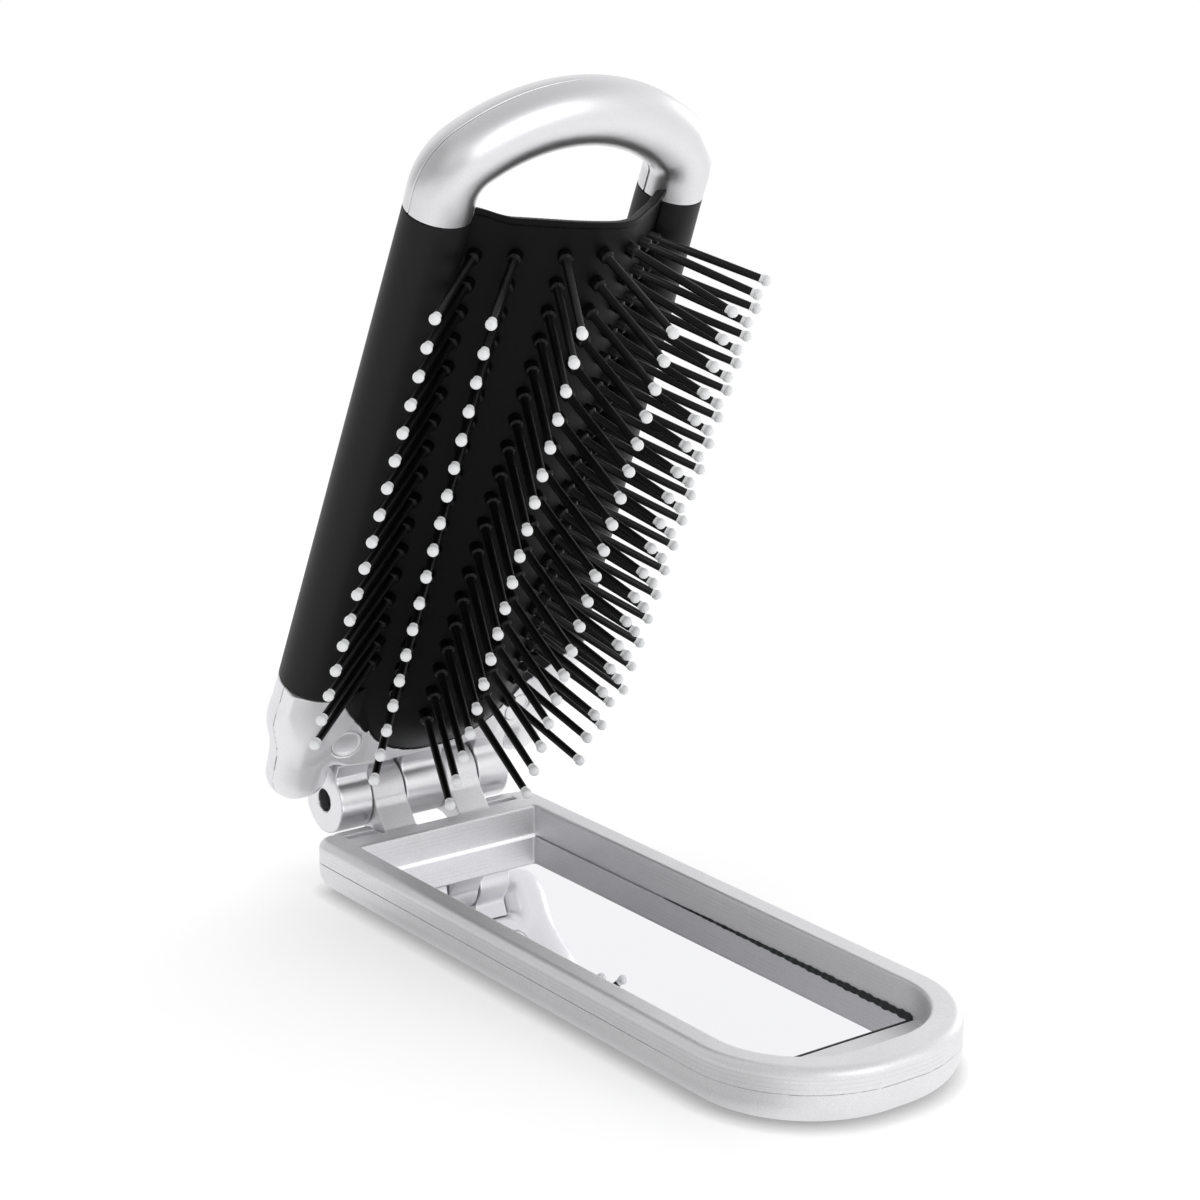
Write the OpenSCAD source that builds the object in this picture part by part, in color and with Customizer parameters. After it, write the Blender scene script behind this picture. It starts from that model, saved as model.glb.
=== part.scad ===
// Folding hairbrush with a mirror set in its handle.
// Millimetres. Origin: centre of the handle's flat underside. +Z up, +X along the hinge,
// -Y towards the handle's round end. The brush head is drawn on its own axes:
// x across, y up the head from the hinge axis, z out of the bristle side.

/* [Part] */
// Sub-part to draw, or all of them

/* [Fold] */
// Angle between handle and head as stored (0 folded shut, 180 open flat)
open_angle = 66.35; // [0:0.05:180]
// Height of the hinge axis above the handle's top face
axis_above_top = 3.6; // [3.4:0.1:6]
// Distance from the hinge axis to the handle's back edge
axis_to_edge = 3.2; // [3:0.1:8]

/* [Handle] */
// Overall length of the handle
handle_len = 101.2; // [80:0.1:130]
// Overall width of the handle
handle_w = 36.0; // [30:0.1:50]
// Overall thickness of the handle
handle_t = 7.4; // [6.6:0.1:14]
// Corner radius at the handle's round end
end_r = 16.8; // [8:0.1:17]
// How far the corner radius at the hinge end exceeds the bottom rounding
back_r_more = 0.1; // [0:0.1:6]
// Thickness of the handle's frame, above the joint line with its cover
frame_t = 3.2; // [2.6:0.1:5]
// Rounding on the handle's top outer edge
top_fillet = 2.4; // [0.3:0.1:2.6]
// Rounding on the handle's bottom outer edge
bottom_fillet = 3.2; // [0.5:0.1:3.4]
// Wall beside the mirror well
well_wall = 3.65; // [2:0.05:6]
// Wall between the hinge edge and the mirror well
well_back_wall = 7.1; // [3:0.1:10]
// Wall between the round end and the mirror well
well_end_wall = 4.85; // [2:0.05:8]
// Corner radius at the mirror well's round end
well_r = 11.45; // [6:0.05:14]
// Wall of the frame's skirt, which lines the well inside the cover
skirt_t = 1.0; // [0.6:0.1:2]
// Play between the cover's pocket and the frame's skirt
pocket_play = 0.2; // [0.05:0.05:0.5]
// How far the cut-out for the hinge barrel reaches in from the handle's back edge
hinge_cut = 4.1; // [3:0.1:5]
// Side play between the hinge barrel and the cut-out
hinge_cut_play = 0.2; // [0.1:0.05:0.5]

/* [Mirror] */
// Depth of the mirror's face below the handle's top
mirror_depth = 4.5; // [2:0.1:6]
// Thickness of the mirror glass
glass_t = 1.3; // [0.8:0.1:2]
// Length of the mirror glass
glass_len = 79.2; // [60:0.1:100]
// Thickness of the foam tape under the glass
tape_t = 0.5; // [0.3:0.1:1]
// Gap between the mirror glass and the walls around it
glass_gap = 0.15; // [0.05:0.05:0.5]

/* [Hinge] */
// Radius of the hinge barrel
barrel_r = 4.65; // [3.5:0.05:7]
// Overall length of the hinge barrel
barrel_len = 27.8; // [20:0.1:40]
// Width of the head's middle knuckle
mid_knuckle_w = 6.6; // [4:0.1:10]
// Width of each handle tab
tab_w = 5.1; // [3:0.1:8]
// Side play between a tab and a knuckle
knuckle_gap = 0.2; // [0.1:0.05:0.5]
// Radius of the hinge bore
bore_r = 1.6; // [1:0.05:2.5]
// Radial play of the hinge pin in its bore
pin_play = 0.05; // [0.01:0.01:0.1]
// How far the pin's ends sit inside the barrel
pin_recess = 1.3; // [0.2:0.1:3]
// How far the tab's foot reaches onto the handle's top
tab_foot = 0.2; // [0.1:0.1:1]
// Depth of the tab's root on the wall of the cut-out
tab_root = 2.4; // [1.5:0.1:2.8]
// Where the tab's underside leaves the round eye, from straight down
tab_back_angle = 25.0; // [5:1:45]
// How far the tab's root reaches into the wall
tab_sink = 0.5; // [0.3:0.1:1]

/* [Side rails] */
// Distance of a rail's axis from the middle, at the top seam
rail_x_top = 17.6; // [14:0.1:24]
// Distance of a rail's axis from the middle, at the bottom seam
rail_x_low = 18.7; // [14:0.1:26]
// Rail axis in front of the hinge axis, at the top seam
rail_f_top = -1.1; // [-4:0.1:0]
// Rail axis in front of the hinge axis, at the bottom seam
rail_f_low = -1.4; // [-4:0.1:0]
// Rail radius at the top seam
rail_r_top = 4.25; // [3:0.05:6]
// Rail radius at the bottom seam
rail_r_low = 4.75; // [3:0.05:6]
// Height of the seam between rails and loop
seam_top = 93.2; // [70:0.1:120]
// Height of the seam between rails and base
seam_low = 20.0; // [15:0.1:30]
// Gap left at the seams
seam_gap = 0.12; // [0.04:0.02:0.4]
// Radius of the rods inside the rails
rod_r = 2.2; // [1.2:0.1:3]
// Radial play of a rod in its sleeve
rod_play = 0.1; // [0.02:0.01:0.2]

/* [Loop] */
// Length of the loop's straight legs above the top seam
loop_leg = 2.6; // [1:0.1:10]
// Rise of the tube's centre from the legs to the crown
loop_rise = 9.7; // [7.5:0.1:17]
// Centreline radius of the loop's corners
loop_corner_r = 6.0; // [5:0.1:12]
// Gap left at the joint line between two halves
split_gap = 0.1; // [0.02:0.02:0.3]

/* [Base] */
// Height of the lobe's centre above the hinge axis
lobe_v = 5.8; // [5:0.1:10]
// Radius of a lobe
lobe_r = 3.8; // [3:0.1:4.6]
// Half the width of the base's flat middle
plate_half_w = 18.5; // [16:0.1:20]
// Height where the horns are widest
shoulder_v = 15.0; // [12:0.5:18]
// Front face of the base plate, in front of the hinge axis
plate_f = 2.0; // [1:0.1:3.2]
// Lower edge of the front plate
plate_v = 7.2; // [6.6:0.1:9]
// Joint plane between the base's two shells
base_split_f = -1.2; // [-3:0.1:0]
// Back face of the base
back_f = -5.2; // [-7:0.1:-4.8]
// Lower edge of the back shell
back_v = 5.1; // [5:0.1:7]
// Rounding on the base's long edges
base_round = 1.2; // [0.5:0.1:2]
// Front face of the webs that carry the knuckles
web_f = 1.4; // [0:0.1:2]
// Front face of the bridge above the handle's tabs
bridge_f = 0.4; // [0:0.1:0.6]
// Radius of the opening through the base, under the pad's round end
base_hole_r = 13.2; // [10:0.1:14]

/* [Fasteners] */
// Distance of a plug from the middle
plug_x = 14.4; // [12:0.1:16]
// Height of a plug above the hinge axis
plug_v = 11.6; // [9:0.1:15]
// Radius of a plug
plug_r = 2.1; // [1.5:0.1:3]
// Thickness of a plug
plug_t = 0.8; // [0.4:0.1:1.2]
// Radial play around plug and screw head
plug_play = 0.06; // [0.02:0.01:0.2]
// Radius of a screw's head
screw_head_r = 1.7; // [1.2:0.1:2.2]
// Height of a screw's head
screw_head_h = 1.0; // [0.6:0.1:1.6]
// Radius of a screw's shank
screw_r = 0.9; // [0.5:0.05:1.2]
// Radial play around a screw's shank
screw_play = 0.05; // [0.02:0.01:0.2]
// Length of a screw's shank
screw_len = 4.2; // [2:0.1:6]

/* [Bristle pad] */
// Radius of the pad's crown
pad_crown_r = 10.1; // [8:0.1:20]
// Height of the pad's crown in front of the hinge axis
pad_crown_f = 9.9; // [6:0.1:14]
// Slope of the pad's flanks
pad_slope = 37.0; // [20:0.5:60]
// Height of the pad's edge in front of the hinge axis
pad_edge_f = 0.9; // [0.2:0.1:1.8]
// Thickness of the pad
pad_t = 1.1; // [0.6:0.1:2]
// Height of the centre of the pad's round lower end
pad_low_v = 22.3; // [18:0.1:28]
// Height of the pad's top edge over the top seam, in the hinge-axis plane
pad_over_seam = 0.1; // [0:0.1:3]
// Tilt of the pad's top edge
pad_top_tilt = 24.0; // [0:0.5:40]
// Play between the pad's edge and the parts that hold it
pad_play = 0.05; // [0.02:0.01:0.2]

/* [Bristles] */
// Spacing of the bristle rows
row_pitch = 4.0; // [3:0.1:6]
// Radius of a bristle
pin_r = 0.53; // [0.3:0.01:1]
// Radius of a bristle's root boss
boss_r = 1.0; // [0.6:0.05:1.6]
// Height of a bristle's root boss
boss_h = 1.2; // [0.4:0.1:2]
// Radius of a bristle's ball tip
ball_r = 0.8; // [0.5:0.05:1.5]
// Play between a ball tip and its bristle
ball_play = 0.02; // [0.01:0.01:0.1]
// How far a row's tips sit below its roots
tip_drop = 2.06; // [0:0.01:5]
// Roots across, from the middle column outwards
root_x = [0, 4.85, 9.43, 13.28]; // [0:0.01:20]
// Tips across, from the middle column outwards
tip_x = [0, 11.17, 20.03, 25.73]; // [0:0.01:40]
// Tips in front of the hinge axis, from the middle column outwards
tip_f = [24.95, 22.78, 17.04, 12.0]; // [0:0.01:40]
// Top tip below the top seam, from the middle column outwards
tip_below = [3.2, 3.7, 5.3, 6.5]; // [0:0.1:20]
// Lowest root over the centre of the pad's round end, from the middle column outwards
root_low = [-2.4, -2.9, -0.5, 2.3]; // [-8:0.1:8]
// Change of tip spread from the middle row to the top row
grow_x = [0, 0.11, -0.34, -1.06]; // [-3:0.01:3]
// Change of tip height from the middle row to the top row
grow_f = [0.87, 0.25, -0.37, 0.54]; // [-3:0.01:3]
// Change of tip level from the middle row to the top row
grow_v = 0.51; // [-3:0.01:3]
// Middle row below the top seam
mid_below = 41.2; // [20:0.1:60]
// Height from the middle row to the top row
span_v = 36.0; // [20:1:60]

/* [Colours] */
// Silver plastic
c_silver = [0.78, 0.79, 0.80]; // [0:0.01:1]
// Black soft-touch plastic
c_black = [0.06, 0.06, 0.065]; // [0:0.01:1]
// Black rubber
c_rubber = [0.09, 0.09, 0.095]; // [0:0.01:1]
// Bristle ball tips
c_white = [0.95, 0.95, 0.95]; // [0:0.01:1]
// Mirror
c_mirror = [0.85, 0.88, 0.90]; // [0:0.01:1]
// Steel
c_steel = [0.55, 0.55, 0.57]; // [0:0.01:1]

/* [Hidden] */

$fn = 64;
// facets on bristles and ball tips
fn_pin = 20;
// a length that outruns the whole part, for cutting
far = 300;
// overshoot of a cut beyond the face it opens
over = 0.5;
// length of the fine bands on the loop
band_w = 0.3;
// how far the fine bands stand out
band_t = 0.02;

half_w = handle_w / 2;
edge_y = handle_len / 2;
axis_y = edge_y + axis_to_edge;
axis_z = handle_t + axis_above_top;
back_r = bottom_fillet + back_r_more;
end_cx = half_w - end_r;
end_cy = -edge_y + end_r;
back_cx = half_w - back_r;
back_cy = edge_y - back_r;
split_z = handle_t - frame_t;

well_half_w = half_w - well_wall;
well_cx = well_half_w - well_r;
well_cy = -edge_y + well_end_wall + well_r;
well_back_y = edge_y - well_back_wall;
mirror_z = handle_t - mirror_depth;
glass_back_y = well_back_y - glass_gap;
glass_end_y = glass_back_y - glass_len;
glass_z = mirror_z - glass_t;
cover_floor = glass_z - tape_t;
skirt_z = cover_floor + pocket_play;
// how far the tape stays in from the glass's edges
tape_inset = 1.15;

tab_in = mid_knuckle_w / 2 + knuckle_gap;
tab_out = tab_in + tab_w;
knuckle_in = tab_out + knuckle_gap;
knuckle_out = barrel_len / 2;
pin_half = knuckle_out - pin_recess;
pin_rad = bore_r - pin_play;

pad_cf = pad_crown_f - pad_crown_r;
pad_top_v = seam_top + pad_over_seam;
loop_spring = seam_top + loop_leg;
loop_big_r = (rail_x_top * rail_x_top + loop_rise * loop_rise
    - 2 * rail_x_top * loop_corner_r) / (2 * (loop_rise - loop_corner_r));
loop_big_v = loop_spring + loop_rise - loop_big_r;
loop_corner_x = rail_x_top - loop_corner_r;
loop_turn = atan2(loop_corner_x, loop_spring - loop_big_v);

// ---------- helpers ----------

// Head axes at the stored angle.
module on_head() {
    translate([0, axis_y, axis_z])
        rotate([180 - open_angle, 0, 0])
            children();
}

// A round bar or cone between two points.
module bar(p, q, r1, r2) {
    d = q - p;
    len = norm(d);
    translate(p)
        rotate([0, acos(d[2] / len), atan2(d[1], d[0])])
            cylinder(h = len, r1 = r1, r2 = r2);
}

// Cylinder along X, centred on x = 0.
module cyl_x(len, r) {
    rotate([0, 90, 0])
        cylinder(h = len, r = r, center = true);
}

// Box between two corners.
module box(a, b) {
    translate(a)
        cube(b - a);
}

// Edge profile of a slab: x from 0 to reach, z between the faces, rounded outside.
module edge_profile(reach, z0, z1, r0, r1) {
    translate([0, z0 + r0])
        square([reach, z1 - z0 - r0 - r1]);
    if (r0 > 0) {
        translate([0, z0])
            square([reach - r0, r0]);
        intersection() {
            translate([reach - r0, z0 + r0])
                circle(r = r0);
            translate([0, z0])
                square([reach, r0]);
        }
    }
    if (r1 > 0) {
        translate([0, z1 - r1])
            square([reach - r1, r1]);
        intersection() {
            translate([reach - r1, z1 - r1])
                circle(r = r1);
            translate([0, z1 - r1])
                square([reach, r1]);
        }
    }
}

// Slab with the handle's outline and rounded long edges.
module handle_slab(z0, z1, r0, r1) {
    for (s = [-1, 1]) {
        translate([s * end_cx, end_cy, 0])
            rotate_extrude()
                edge_profile(end_r, z0, z1, r0, r1);
        translate([s * back_cx, back_cy, 0])
            rotate_extrude()
                edge_profile(back_r, z0, z1, r0, r1);
    }
    // straight sides
    translate([0, back_cy, 0])
        rotate([90, 0, 0])
            linear_extrude(height = back_cy - end_cy) {
                edge_profile(half_w, z0, z1, r0, r1);
                mirror([1, 0])
                    edge_profile(half_w, z0, z1, r0, r1);
            }
    // strip at the hinge end
    translate([-back_cx, 0, 0])
        rotate([90, 0, 90])
            linear_extrude(height = 2 * back_cx)
                edge_profile(edge_y, z0, z1, r0, r1);
    // strip at the round end
    translate([end_cx, 0, 0])
        rotate([90, 0, -90])
            linear_extrude(height = 2 * end_cx)
                edge_profile(edge_y, z0, z1, r0, r1);
}

// The mirror well's outline, grown by g, as a straight-walled solid.
module well(z0, z1, g) {
    for (s = [-1, 1])
        translate([s * well_cx, well_cy, z0])
            cylinder(h = z1 - z0, r = well_r + g);
    box([-well_half_w - g, well_cy, z0], [well_half_w + g, well_back_y + g, z1]);
    box([-well_cx, well_cy - well_r - g, z0], [well_cx, well_cy + over, z1]);
}

// Rail axis at height v.
function rail_t(v) = (v - seam_low) / (seam_top - seam_low);
function rail_at(s, v) = [
    s * (rail_x_low + (rail_x_top - rail_x_low) * rail_t(v)),
    v,
    rail_f_low + (rail_f_top - rail_f_low) * rail_t(v)];
function rail_r_at(v) = rail_r_low + (rail_r_top - rail_r_low) * rail_t(v);

// Length of rail between two heights, grown by g in radius.
module rail(s, v0, v1, r0, r1) {
    bar(rail_at(s, v0), rail_at(s, v1), r0, r1);
}

// Half-space in front of (1) or behind (-1) a plane across the head.
module half_space(f, side) {
    translate([-far / 2, -far / 2, side > 0 ? f : f - far])
        cube(far);
}

// Region under the pad's outer surface, moved inwards by d, above the height f0.
module pad_region(d, f0) {
    r = pad_crown_r - d;
    xt = r * sin(pad_slope);
    ft = pad_cf + r * cos(pad_slope);
    xe = xt + (ft - f0) / tan(pad_slope);
    intersection() {
        translate([0, pad_cf])
            circle(r = r);
        translate([-xt, ft])
            square([2 * xt, r]);
    }
    polygon([[-xe, f0], [xe, f0], [xt, ft], [-xt, ft]]);
}

// The same region as a solid: a straight arch with a round lower end.
module pad_solid(d, f0) {
    translate([0, far + pad_low_v, 0])
        rotate([90, 0, 0])
            linear_extrude(height = far)
                pad_region(d, f0);
    translate([0, pad_low_v, 0])
        rotate_extrude()
            intersection() {
                pad_region(d, f0);
                translate([0, -far / 2])
                    square(far);
            }
}

// Height of the pad's outer surface at a distance x from the middle.
function pad_xt() = pad_crown_r * sin(pad_slope);
function pad_surface(x) = x < pad_xt()
    ? pad_cf + sqrt(pad_crown_r * pad_crown_r - x * x)
    : pad_cf + pad_crown_r * cos(pad_slope) - (x - pad_xt()) * tan(pad_slope);

// Root and tip of bristle i in column s (-3 to 3).
function tip_v(k, i) = seam_top - tip_below[k] - i * row_pitch;
function column_n(k) = floor((tip_v(k, 0) + tip_drop - pad_low_v - root_low[k]) / row_pitch) + 1;
function bristle_t(k, i) = (tip_v(k, i) - seam_top + mid_below) / span_v;
function sgn(s) = s < 0 ? -1 : 1;
function root(s, i) = [
    sgn(s) * root_x[abs(s)],
    tip_v(abs(s), i) + tip_drop,
    pad_surface(root_x[abs(s)])];
function tip(s, i) = [
    sgn(s) * (tip_x[abs(s)] + grow_x[abs(s)] * bristle_t(abs(s), i)),
    tip_v(abs(s), i) + grow_v * bristle_t(abs(s), i),
    tip_f[abs(s)] + grow_f[abs(s)] * bristle_t(abs(s), i)];
function unit(a) = a / norm(a);

// One column of bristles with their root bosses, standing on the pad.
module pin_column(s) {
    color(c_black)
        on_head()
            difference() {
                for (i = [0 : column_n(abs(s)) - 1]) {
                    p = root(s, i);
                    u = unit(tip(s, i) - p);
                    bar(p - u * pad_t, tip(s, i), pin_r, pin_r, $fn = fn_pin);
                    bar(p - u * pad_t, p + u * boss_h, boss_r, boss_r, $fn = fn_pin);
                }
                pad_solid(0, -pad_crown_r);
            }
}

// One ball tip with its centre at the origin, bored from below for a bristle along +Z.
module ball() {
    rotate_extrude($fn = fn_pin)
        difference() {
            intersection() {
                circle(r = ball_r);
                translate([0, -ball_r])
                    square([ball_r, 2 * ball_r]);
            }
            translate([-over, -2 * ball_r])
                square([over + pin_r + ball_play, 2 * ball_r + ball_play]);
        }
}

// One column of ball tips.
module tip_column(s) {
    color(c_white)
        on_head()
            for (i = [0 : column_n(abs(s)) - 1]) {
                u = unit(tip(s, i) - root(s, i));
                translate(tip(s, i))
                    rotate([0, acos(u[2]), atan2(u[1], u[0])])
                        ball();
            }
}

// Horn of the base: carries a rail on, then narrows to a round lobe.
module horn(s) {
    top = seam_low - seam_gap / 2;
    c = rail_at(s, lobe_v);
    d = rail_at(s, seam_low + over) - c;
    shoulder = shoulder_v - lobe_v;
    intersection() {
        translate(c)
            rotate([0, acos(d[2] / norm(d)), atan2(d[1], d[0])])
                rotate_extrude() {
                    intersection() {
                        circle(r = lobe_r);
                        translate([0, -lobe_r])
                            square(lobe_r);
                    }
                    polygon([[0, -over], [0, norm(d)], [rail_r_low, norm(d)],
                        [rail_r_low, shoulder], [lobe_r, 0], [0, 0]]);
                }
        box([-far, -far, -far], [far, top, far]);
    }
}

// Bore for the rod inside a rail.
module rod_bore(s) {
    rail(s, lobe_v + over, seam_top + over, rod_r + rod_play, rod_r + rod_play);
}

// Round opening through the base under the pad's lower end.
module base_hole() {
    translate([0, pad_low_v, -far / 2])
        cylinder(h = far, r = base_hole_r);
}

// ---------- handle ----------

// Hinge tab: an eye round the pin with an arm down to the wall of the cut-out.
module tab() {
    wall_y = axis_to_edge + hinge_cut;
    rotate([90, 0, 90])
        linear_extrude(height = tab_w) {
            circle(r = barrel_r);
            polygon([[0, 0], [-barrel_r, 0],
                [-wall_y - tab_foot, -axis_above_top],
                [-wall_y - tab_sink, -axis_above_top - tab_sink],
                [-wall_y - tab_sink, -axis_above_top - tab_root],
                [-wall_y, -axis_above_top - tab_root],
                [-barrel_r * sin(tab_back_angle), -barrel_r * cos(tab_back_angle)]]);
        }
}

// Room for the hinge barrel at the handle's back edge.
module hinge_cutout() {
    half = barrel_len / 2 + hinge_cut_play;
    box([-half, edge_y - hinge_cut, -over], [half, far, far]);
}

module handle_frame() {
    color(c_silver)
        difference() {
            union() {
                difference() {
                    handle_slab(split_z, handle_t, 0, top_fillet);
                    hinge_cutout();
                }
                // skirt down inside the cover
                well(skirt_z, split_z + over, skirt_t);
                for (x = [tab_in, -tab_out])
                    translate([x, axis_y, axis_z])
                        tab();
            }
            // the well, with a floor left in it beyond the mirror
            difference() {
                well(0, handle_t + over, 0);
                box([-far, -far, 0], [far, glass_end_y - glass_gap, mirror_z]);
            }
            translate([0, axis_y, axis_z])
                cyl_x(barrel_len, bore_r);
        }
}

module handle_cover() {
    color(c_silver)
        difference() {
            handle_slab(0, split_z - split_gap / 2, bottom_fillet, 0);
            well(cover_floor, split_z + over, skirt_t + pocket_play);
            hinge_cutout();
        }
}

module mirror_tape() {
    inset = glass_gap + tape_inset;
    color(c_rubber)
        box([-well_half_w + inset, glass_end_y + tape_inset, cover_floor],
            [well_half_w - inset, glass_back_y - tape_inset, glass_z]);
}

module mirror_glass() {
    color(c_mirror)
        box([-well_half_w + glass_gap, glass_end_y, glass_z],
            [well_half_w - glass_gap, glass_back_y, mirror_z]);
}

// ---------- hinge ----------

module hinge_pin() {
    color(c_steel)
        translate([0, axis_y, axis_z])
            cyl_x(2 * pin_half, pin_rad);
}

// ---------- head base ----------

module base_back() {
    color(c_silver)
        on_head()
            difference() {
                union() {
                    intersection() {
                        union() {
                            horn(-1);
                            horn(1);
                            box([-plate_half_w, back_v + base_round, back_f],
                                [plate_half_w, seam_low - seam_gap / 2, base_split_f]);
                            box([-plate_half_w, back_v, back_f + base_round],
                                [plate_half_w, back_v + base_round, base_split_f]);
                            translate([0, back_v + base_round, back_f + base_round])
                                cyl_x(2 * plate_half_w, base_round);
                        }
                        half_space(base_split_f - split_gap / 2, -1);
                    }
                    // bridge over the handle's tabs
                    box([-knuckle_out, back_v, base_split_f - 1],
                        [knuckle_out, plate_v - split_gap, bridge_f]);
                    // knuckles with their webs
                    for (x = [-knuckle_out, -mid_knuckle_w / 2, knuckle_in]) {
                        w = x == -mid_knuckle_w / 2 ? mid_knuckle_w : knuckle_out - knuckle_in;
                        translate([x + w / 2, 0, 0])
                            cyl_x(w, barrel_r);
                        box([x, 0, -barrel_r + split_gap],
                            [x + w, plate_v - split_gap, web_f]);
                    }
                }
                base_hole();
                rod_bore(-1);
                rod_bore(1);
                cyl_x(barrel_len + 1, bore_r);
                for (s = [-1, 1])
                    translate([s * plug_x, plug_v, base_split_f - screw_len + 1])
                        cylinder(h = screw_len, r = screw_r + screw_play);
            }
}

module base_front() {
    screw_seat = plate_f - plug_t - screw_head_h - plug_play;
    color(c_silver)
        on_head()
            difference() {
                intersection() {
                    union() {
                        horn(-1);
                        horn(1);
                        box([-plate_half_w, plate_v + base_round, base_split_f - 1],
                            [plate_half_w, seam_low - seam_gap / 2, plate_f]);
                        box([-plate_half_w, plate_v, base_split_f - 1],
                            [plate_half_w, plate_v + base_round, plate_f - base_round]);
                        translate([0, plate_v + base_round, plate_f - base_round])
                            cyl_x(2 * plate_half_w, base_round);
                    }
                    half_space(base_split_f + split_gap / 2, 1);
                }
                base_hole();
                // seat for the pad's rim
                pad_solid(-pad_play, pad_edge_f - pad_play);
                rod_bore(-1);
                rod_bore(1);
                for (s = [-1, 1])
                    translate([s * plug_x, plug_v, 0]) {
                        translate([0, 0, plate_f - plug_t])
                            cylinder(h = plug_t + over, r = plug_r + plug_play);
                        translate([0, 0, screw_seat])
                            cylinder(h = screw_head_h + over, r = screw_head_r + plug_play);
                        translate([0, 0, base_split_f - over])
                            cylinder(h = far, r = screw_r + screw_play);
                    }
            }
}

module base_screws() {
    screw_seat = plate_f - plug_t - screw_head_h - plug_play;
    color(c_steel)
        on_head()
            for (s = [-1, 1])
                translate([s * plug_x, plug_v, screw_seat])
                    difference() {
                        union() {
                            cylinder(h = screw_head_h, r = screw_head_r);
                            translate([0, 0, -screw_len])
                                cylinder(h = screw_len + over, r = screw_r);
                        }
                        // cross recess
                        for (a = [0, 90])
                            rotate([0, 0, a])
                                translate([-screw_r, -screw_play * 4, screw_head_h / 2])
                                    cube([2 * screw_r, screw_play * 8, screw_head_h]);
                    }
}

module plug(s) {
    color(c_silver)
        on_head()
            translate([s * plug_x, plug_v, plate_f - plug_t])
                cylinder(h = plug_t, r = plug_r);
}

module plug_left() {
    plug(-1);
}

module plug_right() {
    plug(1);
}

// ---------- rails ----------

module core_rod(s) {
    color(c_steel)
        on_head()
            rail(s, lobe_v + 2 * over, loop_spring - over, rod_r, rod_r);
}

module core_rod_left() {
    core_rod(-1);
}

module core_rod_right() {
    core_rod(1);
}

module sleeve(s) {
    color(c_black)
        on_head()
            difference() {
                intersection() {
                    rail(s, seam_low - 2, seam_top + 2, rail_r_at(seam_low - 2), rail_r_at(seam_top + 2));
                    box([-far, seam_low + seam_gap / 2, -far], [far, seam_top - seam_gap / 2, far]);
                }
                rail(s, lobe_v, seam_top + 4, rod_r + rod_play, rod_r + rod_play);
                // slot for the pad's edge
                difference() {
                    pad_solid(-pad_play, pad_edge_f - pad_play);
                    pad_solid(pad_t + pad_play, pad_edge_f - 1);
                }
            }
}

module sleeve_left() {
    sleeve(-1);
}

module sleeve_right() {
    sleeve(1);
}

// ---------- loop ----------

// Section of one loop half: half a ring, in front of (1) or behind (-1) the joint line.
module loop_section(side, g) {
    intersection() {
        difference() {
            circle(r = rail_r_top + g);
            circle(r = rod_r + 2 * rod_play - g);
        }
        translate([-far / 2, side > 0 ? split_gap / 2 : -far - split_gap / 2])
            square(far);
    }
}

// One half of the loop: two short legs, two corners and the crown.
module loop_half(side) {
    color(c_silver)
        on_head()
            translate([0, 0, rail_f_top]) {
                for (m = [0, 1])
                    mirror([m, 0, 0]) {
                        translate([rail_x_top, loop_spring, 0])
                            rotate([90, 0, 0])
                                linear_extrude(height = loop_spring - seam_top - seam_gap / 2)
                                    loop_section(side, 0);
                        translate([loop_corner_x, loop_spring, 0])
                            rotate_extrude(angle = 90 - loop_turn)
                                translate([loop_corner_r, 0])
                                    loop_section(side, 0);
                        // fine band where a corner runs into the crown
                        translate([0, loop_big_v, 0])
                            rotate([0, 0, 90 - loop_turn])
                                translate([loop_big_r, band_w / 2, 0])
                                    rotate([90, 0, 0])
                                        linear_extrude(height = band_w)
                                            loop_section(side, band_t);
                    }
                translate([0, loop_big_v, 0])
                    rotate([0, 0, 90 - loop_turn])
                        rotate_extrude(angle = 2 * loop_turn)
                            translate([loop_big_r, 0])
                                loop_section(side, 0);
            }
}

module loop_back() {
    loop_half(-1);
}

module loop_front() {
    loop_half(1);
}

// ---------- pad ----------

module bristle_pad() {
    color(c_rubber)
        on_head()
            difference() {
                pad_solid(0, pad_edge_f);
                pad_solid(pad_t, pad_edge_f - over);
                // sloping top edge
                translate([0, pad_top_v, 0])
                    rotate([-pad_top_tilt, 0, 0])
                        translate([-far / 2, 0, -far / 2])
                            cube([far, 2 * far, far]);
                // room for the loop's legs above the seam
                for (s = [-1, 1])
                    translate([s * rail_x_top, seam_top + seam_gap / 2 - pad_play, rail_f_top])
                        rotate([-90, 0, 0])
                            cylinder(h = far, r = rail_r_top + pad_play);
            }
}

// ---------- draw ----------

handle_frame();
handle_cover();
mirror_tape();
mirror_glass();
hinge_pin();
base_back();
base_front();
base_screws();
plug_left();
plug_right();
core_rod_left();
core_rod_right();
sleeve_left();
sleeve_right();
loop_back();
loop_front();
bristle_pad();
pin_column(-3);  // pins_1
pin_column(-2);  // pins_2
pin_column(-1);  // pins_3
pin_column(0);  // pins_4
pin_column(1);  // pins_5
pin_column(2);  // pins_6
pin_column(3);  // pins_7
tip_column(-3);  // tips_1
tip_column(-2);  // tips_2
tip_column(-1);  // tips_3
tip_column(0);  // tips_4
tip_column(1);  // tips_5
tip_column(2);  // tips_6
tip_column(3);  // tips_7
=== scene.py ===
"""Looks of a folding hairbrush with a mirror in its handle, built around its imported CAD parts."""

from __future__ import annotations

import logging
import math
from dataclasses import dataclass
from enum import Enum
from typing import Any, Callable, Iterable, Sequence

import bpy
import numpy as np
from mathutils import Matrix, Vector


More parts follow.
